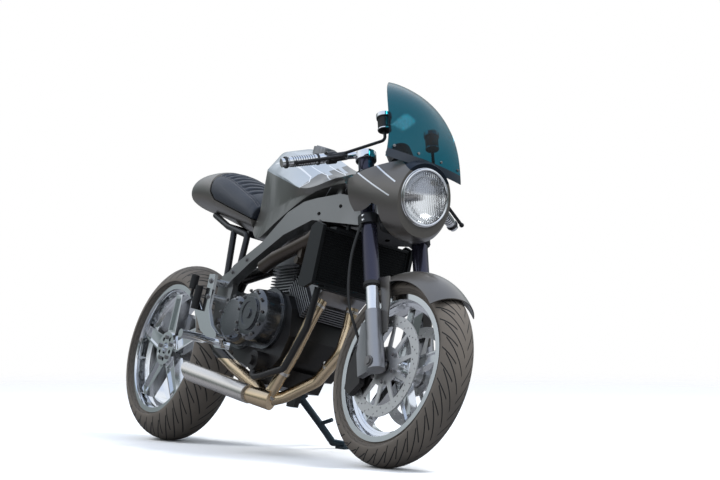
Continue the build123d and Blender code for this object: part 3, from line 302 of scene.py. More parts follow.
# Painted strips, in mm on the upright motorcycle: start, end, half width
FAIRING_LINES = (((1240, 150, 931), (1339, 112, 873), 2.2), ((1212, 172, 887), (1333, 120, 826), 2.2))
TANK_LINES = (((560, 96, 0), (854, 117, 0), 1.8), ((852, 116, 0), (879, 134, 0), 1.8),
              ((878, 132, 0), (868, 160, 0), 1.8), ((800, 93, 0), (896, 82, 0), 1.8),
              ((895, 82, 0), (1010, 124, 0), 1.8), ((830, 45, 0), (935, 40, 0), 1.8),
              ((934, 40, 0), (1040, 84, 0), 1.8))
TANK_PANEL = (((500, 0, 0), (868, 0, 0), 168), ((820, 66, 0), (905, 76, 0), 8),
              ((800, 20, 0), (930, 32, 0), 6))
# Planes: direction, and the level past which the paint or the rear header's near black begins
BROW_PLANE, TANK_TOP_PLANE = ((0.686, 0, 1), 1851), ((0.25, 0, 1), 1070)
DARK_BEHIND_PLANE, DARK_ABOVE_PLANE = ((-1, 0, 0), -735), ((0, 0, 1), 285)


def paint_markings():
    """Lines and a dark brow on the fairing, a panel and lines on the tank, and the rear header made near
    black behind and above two planes.
    """
    tree = grained("fairing_paint", *FINISHES["body_paint"]).node_tree
    point = upright_point(tree, "steering")
    paint_over(tree, (strips_mask(tree, point, SIDEWAYS, FAIRING_LINES), WHITE),
               (beyond(tree, point, *BROW_PLANE), NAVY))
    tree = bpy.data.materials["bike_headers"].node_tree
    point = upright_point(tree, "frame")
    # The rear header is made near black behind one plane and above another.
    darkened_rear = maths(tree, "MULTIPLY", beyond(tree, point, *DARK_BEHIND_PLANE), beyond(tree, point, *DARK_ABOVE_PLANE))
    paint_over(tree, (darkened_rear, REAR_HEADER_DARK))
    tree = bpy.data.materials["bike_tank_paint"].node_tree
    point = upright_point(tree, "frame")
    upper = beyond(tree, point, *TANK_TOP_PLANE)
    panel, lines = (maths(tree, "MULTIPLY", upper, strips_mask(tree, point, UPWARD, rows))
                    for rows in (TANK_PANEL, TANK_LINES))
    paint_over(tree, (panel, SILVER), (lines, WHITE))


def new_material(name):
    """A finish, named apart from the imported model's own materials."""
    material = bpy.data.materials.new("bike_" + name)
    material.use_nodes = True
    return material, material.node_tree, material.node_tree.nodes["Principled BSDF"]


def grained(name, color, spread, stretch, scale, roughness, rough_spread, relief, metallic, coat, dust):
    material, tree, shader = new_material(name)
    grain = use_group(tree, "grain", Color=(*color, 1), Spread=spread, Stretch=stretch, Scale=scale,
                      Roughness=roughness, Roughness_Spread=rough_spread, Relief=relief)
    last = grain
    if dust:
        last = use_group(tree, "road_dust", Color=grain["Color"], Roughness=grain["Roughness"], Amount=dust)
    fill(shader, Base_Color=last["Color"], Roughness=last["Roughness"], Normal=grain["Normal"],
         Metallic=metallic, Coat_Weight=coat, Coat_Roughness=COAT_ROUGHNESS)
    return material


EVEN, COAT_ROUGHNESS = (1, 1, 1), 0.15
# Finish: colour, spread, stretch, grain scale, roughness, its spread, relief, metallic, coat, dust
FINISHES = {
    "body_paint": ((0.150, 0.140, 0.128), 0.08, EVEN, 900, 0.34, 0.06, 0.03, 0.7, 0.4, 0),
    "tank_paint": ((0.130, 0.127, 0.117), 0.08, EVEN, 900, 0.32, 0.06, 0.03, 0.7, 0.4, 0),
    "frame_paint": ((0.24, 0.243, 0.24), 0.10, EVEN, 500, 0.30, 0.08, 0.05, 0.8, 0.3, 0),
    "black_metal": ((0.012, 0.012, 0.013), 0.30, EVEN, 300, 0.34, 0.12, 0.12, 0.3, 0.0, 0.2),
    "gunmetal": ((0.115, 0.12, 0.128), 0.12, EVEN, 700, 0.22, 0.08, 0.04, 0.9, 0.4, 0.05),
    "bare_alloy": ((0.34, 0.34, 0.35), 0.16, EVEN, 260, 0.34, 0.12, 0.12, 0.95, 0.0, 0.25),
    "polished": ((0.80, 0.81, 0.82), 0.05, EVEN, 120, 0.09, 0.06, 0.01, 1.0, 0.0, 0.10),
    "fork_dark": ((0.035, 0.034, 0.055), 0.10, EVEN, 300, 0.18, 0.05, 0.02, 0.7, 0.3, 0),
    "headers": ((0.72, 0.56, 0.37), 0.12, EVEN, 60, 0.24, 0.10, 0.05, 1.0, 0.0, 0.1),
    "silencer_steel": ((0.74, 0.70, 0.65), 0.12, (14, 1, 14), 160, 0.26, 0.10, 0.06, 1.0, 0.0, 0.1),
    "disc_steel": ((0.70, 0.69, 0.68), 0.10, EVEN, 700, 0.40, 0.08, 0.05, 1.0, 0.0, 0.1),
    "steel": ((0.26, 0.25, 0.25), 0.20, EVEN, 240, 0.30, 0.12, 0.10, 0.95, 0.0, 0.3),
    "rubber": ((0.014, 0.014, 0.014), 0.25, EVEN, 500, 0.55, 0.12, 0.20, 0.0, 0.0, 0.2),
    "black_plastic": ((0.011, 0.011, 0.012), 0.2, EVEN, 700, 0.42, 0.1, 0.15, 0.0, 0.0, 0.1),
    "radiator_black": ((0.009, 0.010, 0.011), 0.3, EVEN, 400, 0.38, 0.12, 0.12, 0.4, 0.0, 0.15),
    "stand_paint": ((0.010, 0.030, 0.045), 0.25, EVEN, 300, 0.30, 0.12, 0.10, 0.4, 0.3, 0.1),
    "bronze_paint": ((0.055, 0.042, 0.032), 0.20, EVEN, 500, 0.32, 0.10, 0.06, 0.6, 0.2, 0),
    "brow_paint": ((0.006, 0.012, 0.022), 0.10, EVEN, 500, 0.16, 0.04, 0.01, 0.2, 0.4, 0),
    "bright_grip": ((0.78, 0.79, 0.80), 0.05, EVEN, 120, 0.16, 0.06, 0.01, 1.0, 0.0, 0.05),
    "thread": ((0.16, 0.16, 0.17), 0.20, EVEN, 900, 0.70, 0.10, 0.10, 0.0, 0.0, 0),
}


# Ways of making shapes

def rod(bm, start, end, radius, steps=24, end_radius=None):
    """A round bar or cone with closed ends."""
    start, end = Vector(start), Vector(end)
    run = end - start
    turn = run.to_track_quat("Z", "Y").to_matrix().to_4x4()
    bmesh.ops.create_cone(bm, cap_ends=True, segments=steps, radius1=radius,
                          radius2=radius if end_radius is None else end_radius, depth=run.length,
                          matrix=Matrix.Translation((start + end) / 2) @ turn)


def lathe(bm, profile, centre, axis, steps=96, closed=True):
    """Turns a profile in (along the axis, radius) about an axis through centre."""
    centre, axis = Vector(centre), Vector(axis).normalized()
    out = axis.orthogonal().normalized()
    verts = [bm.verts.new(centre + axis * along + out * radius) for along, radius in profile]
    pairs = list(zip(verts, verts[1:])) + ([(verts[-1], verts[0])] if closed else [])
    edges = [bm.edges.new(pair) for pair in pairs]
    bmesh.ops.spin(bm, geom=verts + edges, cent=centre, axis=axis, angle=2 * pi, steps=steps, use_merge=True,
                   use_duplicate=False)
    bmesh.ops.remove_doubles(bm, verts=bm.verts, dist=0.001)


def finish_piece(piece, finish, body, replaces=()):
    """Gives the piece its finish, the body it rides on and the CAD nodes that it stands for."""
    piece.data.materials.append(bpy.data.materials["bike_" + finish])
    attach(piece, body)
    if replaces:
        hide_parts(*replaces)
    return piece


def add_bevel(piece, width):
    bevel = piece.modifiers.new("edges", "BEVEL")
    bevel.width = width * 0.001
    bevel.segments = 2
    bevel.limit_method = "ANGLE"
    bevel.angle_limit = radians(35)
    bevel.harden_normals = True


def set_down(name, bm, finish, body, replaces, sharp, bevel):
    """The object of a mesh that is already in its place."""
    mesh = bpy.data.meshes.new(name)
    bm.to_mesh(mesh)
    bm.free()
    mesh.shade_smooth()
    mesh.set_sharp_from_angle(angle=radians(sharp))
    piece = bpy.data.objects.new(name, mesh)
    bpy.context.scene.collection.objects.link(piece)
    if bevel:
        add_bevel(piece, bevel)
    return finish_piece(piece, finish, body, replaces)


def make_piece(name, bm, finish, body, replaces=(), sharp=35, bevel=0.0):
    """The mesh, set on the leaning motorcycle, with its finish and the body that it rides on."""
    bm.transform(PLACE[body])
    bmesh.ops.recalc_face_normals(bm, faces=bm.faces)
    return set_down(name, bm, finish, body, replaces, sharp, bevel)


MERGE_WITHIN, FLAT_WITHIN = 0.000002, radians(0.5)


def joined_node(node):
    """A CAD node's triangles, joined, and its body."""
    source = frame["nodes"][node]
    bm = bmesh.new()
    bm.from_mesh(source.data)
    bmesh.ops.remove_doubles(bm, verts=bm.verts, dist=MERGE_WITHIN)
    return bm, source["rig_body"]


def make_flats_whole(bm):
    bmesh.ops.dissolve_limit(bm, angle_limit=FLAT_WITHIN, verts=bm.verts, edges=bm.edges)


def dress(node, finish, bevel=0.0):
    """A smooth copy of a CAD node: its triangles joined, its flat faces made whole, its edges softened."""
    bm, body = joined_node(node)
    make_flats_whole(bm)
    return set_down(node + "_dressed", bm, finish, body, [node], 32, bevel)


def node_mesh(node):
    """A CAD node's mesh, joined and back on the upright motorcycle in millimetres."""
    bm, body = joined_node(node)
    bm.transform(PLACE[body].inverted())
    make_flats_whole(bm)
    return bm, body


# Sizes that a user would change

class BikeColours(bpy.types.PropertyGroup):
    """Colours of the large surfaces."""
    backdrop: bpy.props.FloatVectorProperty(
        name="Backdrop", description="Colour of the floor and what is behind the motorcycle", size=3,
        subtype="COLOR", default=(0.86, 0.86, 0.86), min=0, max=1)


class BikeSizes(bpy.types.PropertyGroup):
    """Sizes of what is modelled here."""
    tread_pitch: bpy.props.IntProperty(
        name="Tread grooves", description="Grooves round each half of a tyre", default=34, min=8, max=80)


class BIKE_OT_stage(bpy.types.Operator):
    """Floor, backdrop, lamps and the camera at the photograph's angle"""
    bl_idname = "bike.stage"
    bl_label = "Stage"

    def execute(self, context):
        scene = context.scene
        build_stage(scene, scene.bike_colours.backdrop)
        build_camera(scene)
        return {"FINISHED"}


# Lamp: name, place, size, watts; all point at LIT_SPOT
LAMPS = (("key", (2.4, 1.6, 5.2), 1.5, 330), ("side", (3.2, -5.0, 2.2), 2.6, 60),
         ("rim", (-3.0, -2.2, 3.4), 1.6, 110))
LIT_SPOT = Vector((0.4, 0, 0.5))
# The floor's colour in reflections, and where it starts to fade and is gone, in metres
FLOOR_MIRRORED, FADE_FROM, FADE_TO = (0.20, 0.20, 0.21), 2.2, 7.0


def build_stage(scene, colour):
    """A round floor, what is round it, and the lamps."""
    bm = bmesh.new()
    bmesh.ops.create_circle(bm, cap_ends=True, segments=96, radius=14)
    mesh = bpy.data.meshes.new("floor")
    bm.to_mesh(mesh)
    bm.free()
    floor = bpy.data.objects.new("floor", mesh)
    scene.collection.objects.link(floor)
    mesh.materials.append(build_floor_finish(colour))
    build_sky(scene)
    for name, spot, size, power in LAMPS:
        lamp = bpy.data.lights.new(name, "AREA")
        lamp.energy = power
        lamp.size = size
        holder = bpy.data.objects.new(name, lamp)
        holder.location = spot
        holder.visible_glossy = False
        holder.rotation_euler = (LIT_SPOT - Vector(spot)).to_track_quat("-Z", "Y").to_euler()
        scene.collection.objects.link(holder)


def build_floor_finish(colour):
    """Pale to the camera, darker in reflections, and clear far from the motorcycle."""
    material, tree, shader = new_material("floor")
    grain = use_group(tree, "grain", Color=(*colour, 1), Spread=0.03, Scale=40.0, Roughness=0.75)
    seen = tree.nodes.new("ShaderNodeLightPath").outputs["Is Camera Ray"]
    fill(shader, Base_Color=mixed(tree, seen, (*FLOOR_MIRRORED, 1), grain["Color"]),
         Roughness=grain["Roughness"])
    fade = add(tree, "ShaderNodeMapRange", interpolation_type="SMOOTHSTEP",
               Value=vectors(tree, "LENGTH", object_point(tree)), From_Min=FADE_FROM, From_Max=FADE_TO)
    clear = tree.nodes.new("ShaderNodeBsdfTransparent")
    both = fed_in_order(tree.nodes.new("ShaderNodeMixShader"),
                        (fade.outputs["Result"], shader.outputs[0], clear.outputs[0]))
    feed(tree.nodes["Material Output"].inputs["Surface"], both[0])
    return material


# What the motorcycle mirrors, from straight down (0) to straight up (1): place, colour
SKY = ((0.0, (0.16, 0.16, 0.17)), (0.47, (0.20, 0.20, 0.20)),
       (0.50, (0.09, 0.105, 0.105)), (0.56, (0.17, 0.205, 0.21)),
       (0.64, (0.46, 0.51, 0.54)), (0.72, (1.02, 1.07, 1.13)), (1.0, (0.62, 0.75, 1.0)))


def build_sky(scene):
    """Pale behind the motorcycle; in mirrors and as light, sky over a dark band and grey ground."""
    world = bpy.data.worlds.new("studio")
    scene.world = world
    world.use_nodes = True
    tree = world.node_tree
    direction = tree.nodes.new("ShaderNodeTexCoord").outputs["Generated"]
    ramp = tree.nodes.new("ShaderNodeValToRGB")
    feed(ramp.inputs[0], maths(tree, "MULTIPLY_ADD", split_point(tree, direction)["Z"], 0.5, 0.5))
    stops = ramp.color_ramp.elements
    for index, (at, shade) in enumerate(SKY):
        stop = stops[index] if index < 2 else stops.new(at)
        stop.position = at
        stop.color = (*shade, 1)
    path = tree.nodes.new("ShaderNodeLightPath").outputs
    seen = maths(tree, "MAXIMUM", path["Is Camera Ray"], path["Is Transmission Ray"])
    fill(tree.nodes["Background"], Color=mixed(tree, seen, ramp.outputs["Color"], (1, 1, 1, 1)), Strength=1.0)


def build_camera(scene):
    """The camera of the photograph."""
    forward = Vector((-sin(CAMERA_YAW) * cos(CAMERA_PITCH), cos(CAMERA_YAW) * cos(CAMERA_PITCH),
                      sin(CAMERA_PITCH)))
    level = Vector((cos(CAMERA_YAW), sin(CAMERA_YAW), 0))
    upright = level.cross(forward)
    right = cos(CAMERA_ROLL) * level + sin(CAMERA_ROLL) * upright
    up = cos(CAMERA_ROLL) * upright - sin(CAMERA_ROLL) * level
    data = bpy.data.cameras.new("camera")
    data.sensor_width = SENSOR_WIDTH
    data.lens = SENSOR_WIDTH * CAMERA_FOCAL_PIXELS / PICTURE_WIDTH
    data.clip_end = 200
    camera = bpy.data.objects.new("camera", data)
    turn = Matrix((right, up, -forward)).transposed().to_4x4()
    spot = Vector(joints["rear_wheel_spin"]["pos_m"]) + CAMERA_FROM_AXLE
    camera.matrix_world = Matrix.Translation(spot) @ turn
    scene.collection.objects.link(camera)
    scene.camera = camera
    scene.view_settings.view_transform = "Standard"


class BIKE_OT_finishes(bpy.types.Operator):
    """Node groups and the finishes that the pieces share"""
    bl_idname = "bike.finishes"
    bl_label = "Finishes"

    def execute(self, context):
        for build in (build_grain, build_road_dust, build_upright, build_strip):
            build()
        for name, row in FINISHES.items():
            grained(name, *row)
        build_tyre_finish(context.scene.bike_sizes.tread_pitch)
        build_leather()
        build_clear_finishes()
        paint_markings()
        return {"FINISHED"}


# Grooves of the tread: lean, half width, from and to across the tyre
GROOVES = ((-3.4, 0.065, 0.04, 0.66), (-2.2, 0.05, 0.30, 0.80))
# How the grooves bend outwards, and how far one side's are turned against the other's
GROOVE_BEND, GROOVE_SHIFT = 0.8, 0.25


def build_tyre_finish(pitch):
    """Rubber with curved grooves: u runs round the tyre once, v from 0 at the crown to 1 at the bead."""
    _, tree, shader = new_material("tyre")
    round_tyre = split_point(tree, add(tree, "ShaderNodeUVMap", uv_map="round").outputs[0])
    out = maths(tree, "ABSOLUTE", round_tyre["Y"])
    side = maths(tree, "MULTIPLY", maths(tree, "SIGN", round_tyre["Y"]), GROOVE_SHIFT)
    masks = []
    for lean, half, near, far in GROOVES:
        swept = maths(tree, "MULTIPLY", maths(tree, "POWER", out, GROOVE_BEND), lean)
        turned = maths(tree, "MULTIPLY_ADD", round_tyre["X"], float(pitch), swept)
        phase = maths(tree, "FRACT", maths(tree, "ADD", turned, maths(tree, "ADD", side, 16.0)))
        off = maths(tree, "ABSOLUTE", maths(tree, "SUBTRACT", phase, 0.5))
        inside = maths(tree, "LESS_THAN", off, half)
        masks.append(maths(tree, "MULTIPLY", inside, between(tree, out, near, far)))
    groove = maths(tree, "MAXIMUM", *masks)
    grain = use_group(tree, "grain", Color=(0.110, 0.096, 0.082, 1), Spread=0.4, Scale=420.0, Roughness=0.62,
                      Roughness_Spread=0.16, Relief=0.35)
    dust = use_group(tree, "road_dust", Color=grain["Color"], Roughness=grain["Roughness"], Amount=0.9,
                     Top=0.9, Dust=(0.17, 0.145, 0.12, 1))
    bump = add(tree, "ShaderNodeBump", invert=True, Distance=0.004, Strength=0.8, Height=groove,
               Normal=grain["Normal"])
    # The grooves are near black: painted shade of the recess, on rubber that the dust misses.
    fill(shader, Base_Color=mixed(tree, groove, dust["Color"], (0.008, 0.008, 0.008, 1)),
         Roughness=dust["Roughness"], Normal=bump.outputs["Normal"])


def build_leather():
    """Dark leather with a fine cell grain."""
    _, tree, shader = new_material("leather")
    cells = add(tree, "ShaderNodeTexVoronoi", feature="DISTANCE_TO_EDGE", Vector=object_point(tree),
                Scale=520.0)
    grain = use_group(tree, "grain", Color=(0.008, 0.011, 0.018, 1), Spread=0.35, Scale=60.0, Roughness=0.46,
                      Roughness_Spread=0.14)
    bump = add(tree, "ShaderNodeBump", Distance=0.0006, Strength=0.5,
               Height=maths(tree, "MINIMUM", cells.outputs["Distance"], 0.25))
    fill(shader, Base_Color=grain["Color"], Roughness=grain["Roughness"], Normal=bump.outputs["Normal"],
         Sheen_Weight=0.05)


# Clear finish: colour, roughness
CLEAR_FINISHES = {"smoked_screen": ((0.004, 0.085, 0.125), 0.03),
                  "lamp_glass": ((0.93, 0.95, 0.97), 0.04)}
CLEAR_IOR, FLUTES_PER_METRE, WAVES_PER_SCALE = 1.3, 130, 3.2


def build_clear_finishes():
    """The screen's tinted plastic, and the lamp's glass with upright ribs pressed into it."""
    for name, (colour, roughness) in CLEAR_FINISHES.items():
        _, tree, shader = new_material(name)
        grain = use_group(tree, "grain", Color=(*colour, 1), Spread=0.05, Scale=30.0, Roughness=roughness,
                          Roughness_Spread=0.02)
        fill(shader, Base_Color=grain["Color"], Roughness=grain["Roughness"], Transmission_Weight=1.0,
             IOR=CLEAR_IOR)
        if name == "lamp_glass":
            ribs = add(tree, "ShaderNodeTexWave", bands_direction="Y", Vector=object_point(tree),
                       Scale=FLUTES_PER_METRE / WAVES_PER_SCALE)
            bump = add(tree, "ShaderNodeBump", Distance=0.0016, Strength=0.7, Height=ribs.outputs["Fac"])
            feed(shader.inputs["Normal"], bump.outputs["Normal"])


class BIKE_OT_tyres(bpy.types.Operator):
    """Both tyres with their tread"""
    bl_idname = "bike.tyres"
    bl_label = "Tyres"

    def execute(self, context):
        for row in TYRES:
            build_tyre(*row)
        return {"FINISHED"}


# Tyre: piece, node, body, axle, radius, crown radius, half width of the rim
TYRES = (("front_tyre_tread", "front_tyre", "front_wheel", WHEELBASE, FRONT_RADIUS, 62, 44.5),
         ("rear_tyre_tread", "rear_tyre", "rear_wheel", 0, REAR_RADIUS, 92, 70))
FLANGE_RADIUS, BEAD_RADIUS, TYRE_WALL = 232.5, 217.3, 9
# The crown's arc runs this far to each side of the top
SHOULDER = radians(76)


def build_tyre(name, node, body, x, radius, crown, half):
    """A hollow tyre, turned about its axle, with the map that its tread follows."""
    centre = radius - crown
    outer = [(crown * sin(a), centre + crown * cos(a)) for a in
             [SHOULDER * (step / 12 - 1) for step in range(25)]]
    side_y, side_r = outer[-1]
    wall = [(side_y - 0.4, side_r - 3.5), (half + 1.0, FLANGE_RADIUS + 3), (half - 0.5, FLANGE_RADIUS + 0.5)]
    inner_crown = crown - TYRE_WALL
    inner = [(inner_crown * sin(a), centre + inner_crown * cos(a)) for a in
             [SHOULDER * (1 - step / 4) for step in range(9)]]
    bead = [(half - 0.5, BEAD_RADIUS), (half - 11, BEAD_RADIUS)]
    profile = [(-y, r) for y, r in reversed(wall)] + outer + wall + bead
    profile += inner + [(-y, r) for y, r in reversed(bead)]
    bm = bmesh.new()
    lathe(bm, profile, (x, 0, radius), (0, 1, 0), steps=120)
    layer = bm.loops.layers.uv.new("round")
    for face in bm.faces:
        middle = face.calc_center_median()
        base = atan2(middle.z - radius, middle.x - x)
        for loop in face.loops:
            point = loop.vert.co
            turn = atan2(point.z - radius, point.x - x)
            turn += 2 * pi * round((base - turn) / (2 * pi))
            depth = sqrt((point.x - x) ** 2 + (point.z - radius) ** 2)
            tilt = atan2(point.y, max(depth - centre, 1))
            loop[layer].uv = (turn / (2 * pi), tilt / (pi / 2) if depth > FLANGE_RADIUS + 4 else 1.0)
    make_piece(name, bm, "tyre", body, [node], sharp=50)


HEAD_X = WHEELBASE - 332
# Screen rows: height, how far ahead of the steering head, half width, how far the sides sweep back
SCREEN_ROWS = ((930, 224, 158, 24), (1068, 192, 140, 46), (1170, 110, 108, 54), (1236, -40, 34, 16))
SCREEN_KNOTS = (0.0, 0.40, 0.72, 1.0)
SCREEN_THICK, SCREEN_FOOT, SCREEN_FROM = 3.5, 0.125, 0.045
SCREWS_ACROSS, SCREWS_ABOVE_FOOT = (-0.86, -0.3, 0.3, 0.86), 0.035


def screen_point(up, across, inset=0.0):
    """up runs from 0 at the foot to 1 at the tip, across from -1 to 1."""
    row = [0.0, 0.0, 0.0, 0.0]
    for knot, values in zip(SCREEN_KNOTS, SCREEN_ROWS):
        share = 1.0
        for other in SCREEN_KNOTS:
            if other != knot:
                share *= (up - other) / (knot - other)
        row = [total + share * value for total, value in zip(row, values)]
    height, ahead, half, sweep = row
    radius = (half ** 2 + sweep ** 2) / (2 * sweep)
    reach = asin(min(half / radius, 1.0)) * across
    return Vector((HEAD_X + ahead - radius * (1 - cos(reach)) - inset * cos(reach),
                   (radius - inset) * sin(reach), height))


def screen_shell(low, high, rows=28, columns=36):
    """A curved sheet between two heights, closed round its edge."""
    bm = bmesh.new()
    for inset in (0.0, SCREEN_THICK):
        skin = bmesh.ops.create_grid(bm, x_segments=columns, y_segments=rows, size=1)["verts"]
        for vert in skin:
            across, up = vert.co.xy
            vert.co = screen_point(low + (high - low) * (up + 1) / 2, across, inset)
    bmesh.ops.bridge_loops(bm, edges=[edge for edge in bm.edges if edge.is_boundary])
    return bm


class BIKE_OT_screen(bpy.types.Operator):
    """The windscreen above its dark painted foot, with its screws"""
    bl_idname = "bike.screen"
    bl_label = "Windscreen"

    def execute(self, context):
        # Piece, finish, from and to up the screen
        for name, finish, low, high in (("screen_clear", "smoked_screen", SCREEN_FOOT, 1.0),
                                        ("screen_foot", "brow_paint", SCREEN_FROM, SCREEN_FOOT)):
            make_piece(name, screen_shell(low, high), finish, "steering", ["windscreen"], sharp=50)
        bm = bmesh.new()
        for across in SCREWS_ACROSS:
            foot = screen_point(SCREEN_FOOT + SCREWS_ABOVE_FOOT, across)
            rod(bm, foot - Vector((1, 0, 0)), foot + Vector((3.5, across * 2, 1)), 4.6, 20)
            rod(bm, foot, foot + Vector((5, across * 2, 1.2)), 2.4, 6)
        make_piece("screen_screws", bm, "steel", "steering", bevel=0.4)
        return {"FINISHED"}


LAMP_X, LAMP_Z, LAMP_RADIUS = WHEELBASE - 98, 855, 93
# Piece, finish, profile as distance ahead of the lamp's centre and radius
LAMP_PARTS = (
    ("lamp_rim", "polished", ((5.6, 91), (9.5, 90), (11, 87), (9.5, 84), (6, 83.2), (3.4, 83.6), (5, 88))),
    ("lamp_bowl", "polished", ((1, 82.8), (-14, 74), (-28, 58), (-38, 40), (-44, 20), (-45, 12), (-47, 12),
                               (-46, 21), (-40, 41), (-30, 60), (-16, 76), (-1, 83))),
    ("lamp_bulb", "steel", ((-44, 0.1), (-44, 11), (-20, 10), (-17, 7), (-16, 0.1))))
# Lens: radius, how far ahead its edge and its middle lie, thickness
LENS_RADIUS, LENS_EDGE, LENS_CROWN, LENS_THICK = LAMP_RADIUS - 9.6, 2.6, 18.5, 3


def lens_arc(radius, steps, back=0.0):
    """The domed face of the lens from its middle outwards, set back by its thickness for the inner one."""
    rise = LENS_CROWN - LENS_EDGE
    dome = (LENS_RADIUS ** 2 + rise ** 2) / (2 * rise)
    reach = [radius * step / steps for step in range(steps + 1)]
    return [(LENS_CROWN - dome - back + sqrt(dome ** 2 - out ** 2), max(out, 0.05)) for out in reach]


class BIKE_OT_lamp(bpy.types.Operator):
    """The headlight's rim, bowl, bulb and fluted glass"""
    bl_idname = "bike.lamp"
    bl_label = "Headlight"

    def execute(self, context):
        centre, ahead = (LAMP_X, 0, LAMP_Z), (1, 0, 0)
        for name, finish, profile in LAMP_PARTS:
            bm = bmesh.new()
            lathe(bm, profile, centre, ahead, closed=name != "lamp_bulb")
            make_piece(name, bm, finish, "steering", sharp=45)
        edge = [(LENS_EDGE - 3, LENS_RADIUS), (LENS_EDGE - 2.4, LENS_RADIUS - 3)]
        inner = lens_arc(LENS_RADIUS - 4, 10, LENS_THICK)
        bm = bmesh.new()
        lathe(bm, lens_arc(LENS_RADIUS, 14) + edge + inner[::-1], centre, ahead, steps=120, closed=False)
        make_piece("lamp_lens", bm, "lamp_glass", "steering", ["headlight_glass"], sharp=60)
        return {"FINISHED"}


# The radiator's core: front and back face, height range, half width, pitches of its tubes and fins
CORE_FRONT, CORE_BACK = WHEELBASE - 362, WHEELBASE - 394
CORE_LOW, CORE_MIDDLE, CORE_HIGH, CORE_HALF = 546, 630, 714, 156
TUBE_PITCH, FIN_PITCH = 8, 6
RAIL_HEIGHTS, RAIL_SIDE = (541, 716), 162
TUBE_SIZE, FIN_SIZE = (5, 316, 1.6), (3.0, 0.8, 168)
RAIL_ACROSS_SIZE, RAIL_UPRIGHT_SIZE = (44, 332, 9), (42, 9, 182)


class BIKE_OT_radiator(bpy.types.Operator):
    """Fins and tubes on the radiator's front and back"""
    bl_idname = "bike.radiator"
    bl_label = "Radiator core"

    def execute(self, context):
        fins, rails = bmesh.new(), bmesh.new()
        for z in range(CORE_LOW, CORE_HIGH, TUBE_PITCH):
            for x in (CORE_FRONT, CORE_BACK):
                slab(fins, (x, 0, z), TUBE_SIZE)
        for y in range(-CORE_HALF, CORE_HALF + 1, FIN_PITCH):
            slab(fins, (CORE_FRONT + 1, y, CORE_MIDDLE), FIN_SIZE)
        make_piece("radiator_fins", fins, "radiator_black", "frame")
        between_faces = (CORE_FRONT + CORE_BACK) / 2
        for z in RAIL_HEIGHTS:
            slab(rails, (between_faces, 0, z), RAIL_ACROSS_SIZE)
        for side in (-1, 1):
            slab(rails, (between_faces, side * RAIL_SIDE, CORE_MIDDLE), RAIL_UPRIGHT_SIZE)
        make_piece("radiator_frame", rails, "radiator_black", "frame", bevel=1.5)
        return {"FINISHED"}


def slab(bm, centre, size):
    """A flat bar with its middle and its three sizes."""
    made = bmesh.ops.create_cube(bm, size=1)
    bmesh.ops.scale(bm, vec=size, verts=made["verts"])
    bmesh.ops.translate(bm, vec=centre, verts=made["verts"])


# A washer starts this deep in its seat, and is so high and so wide against the bolt's head
WASHER_SUNK, WASHER_HEIGHT, WASHER_WIDTH = 2, 0.28, 1.35


def bolt(bm, foot, way, radius, height):
    """A hexagon head on its washer."""
    foot, way = Vector(foot), Vector(way).normalized()
    rod(bm, foot - way * WASHER_SUNK, foot + way * height * WASHER_HEIGHT, radius * WASHER_WIDTH, 20)
    rod(bm, foot, foot + way * height, radius, 6)


def bolt_ring(bm, centre, way, reach, count, turn, radius, height):
    """Bolts evenly round a middle, the first one turned by so many degrees."""
    centre, way = Vector(centre), Vector(way).normalized()
    out = way.orthogonal().normalized()
    for step in range(count):
        spoke = Matrix.Rotation(radians(turn) + 2 * pi * step / count, 3, way) @ out
        bolt(bm, centre + spoke * reach, way, radius, height)


OUT_RIGHT, OUT_LEFT = (0, -1, 0), (0, 1, 0)
FORK_UP = (-sin(RAKE), 0, cos(RAKE))

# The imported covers: middle in (x, z), radius, how far out the face lies
COVER_X, COVER_Z, COVER_RADIUS, COVER_FACE = 790, 424, 92, 198
LOBE_X, LOBE_Z, LOBE_RADIUS, LOBE_FACE = 634, 412, 84, 182
# Single bolts: body, foot, way it points, radius, height
BOLTS = [("frame", (866, -130, 470), OUT_RIGHT, 5, 6), ("frame", (856, -130, 366), OUT_RIGHT, 5, 6),
         ("frame", (500, -154, 530), OUT_RIGHT, 8, 7), ("frame", (505, -155, 400), OUT_RIGHT, 12, 8),
         ("frame", (505, 155, 400), OUT_LEFT, 12, 8), ("frame", (474, -196, 532), OUT_RIGHT, 7, 6),
         ("frame", (474, -196, 478), OUT_RIGHT, 7, 6), ("frame", (474, 196, 532), OUT_LEFT, 7, 6),
         ("frame", (474, 196, 478), OUT_LEFT, 7, 6),
         ("frame", (560, -170, 570), OUT_RIGHT, 6, 5), ("frame", (640, -170, 612), OUT_RIGHT, 6, 5),
         ("steering", (WHEELBASE, -133, FRONT_RADIUS), OUT_RIGHT, 13, 5),
         ("steering", (WHEELBASE, 133, FRONT_RADIUS), OUT_LEFT, 13, 5)]
# Rings of bolts: body, centre, way, ring radius, count, turn, bolt radius, height
BOLT_RINGS = [("frame", (COVER_X, -COVER_FACE, COVER_Z), OUT_RIGHT, COVER_RADIUS - 14, 11, 10, 4.2, 6),
              ("frame", (LOBE_X, -LOBE_FACE, LOBE_Z), OUT_RIGHT, LOBE_RADIUS - 12, 9, 20, 4.2, 6),
              ("front_wheel", (WHEELBASE, -76, FRONT_RADIUS), OUT_RIGHT, 52, 6, 0, 5, 5),
              ("front_wheel", (WHEELBASE, 76, FRONT_RADIUS), OUT_LEFT, 52, 6, 0, 5, 5),
              ("rear_wheel", (0, -70, REAR_RADIUS), OUT_RIGHT, 40, 5, 12, 8, 9)]

# Bolts of the fork clamps: how far up the fork, to the side and ahead
CLAMP_BOLTS_AT, CLAMP_SIDE, CLAMP_AHEAD = (484, 500, 647, 663), 134, 10


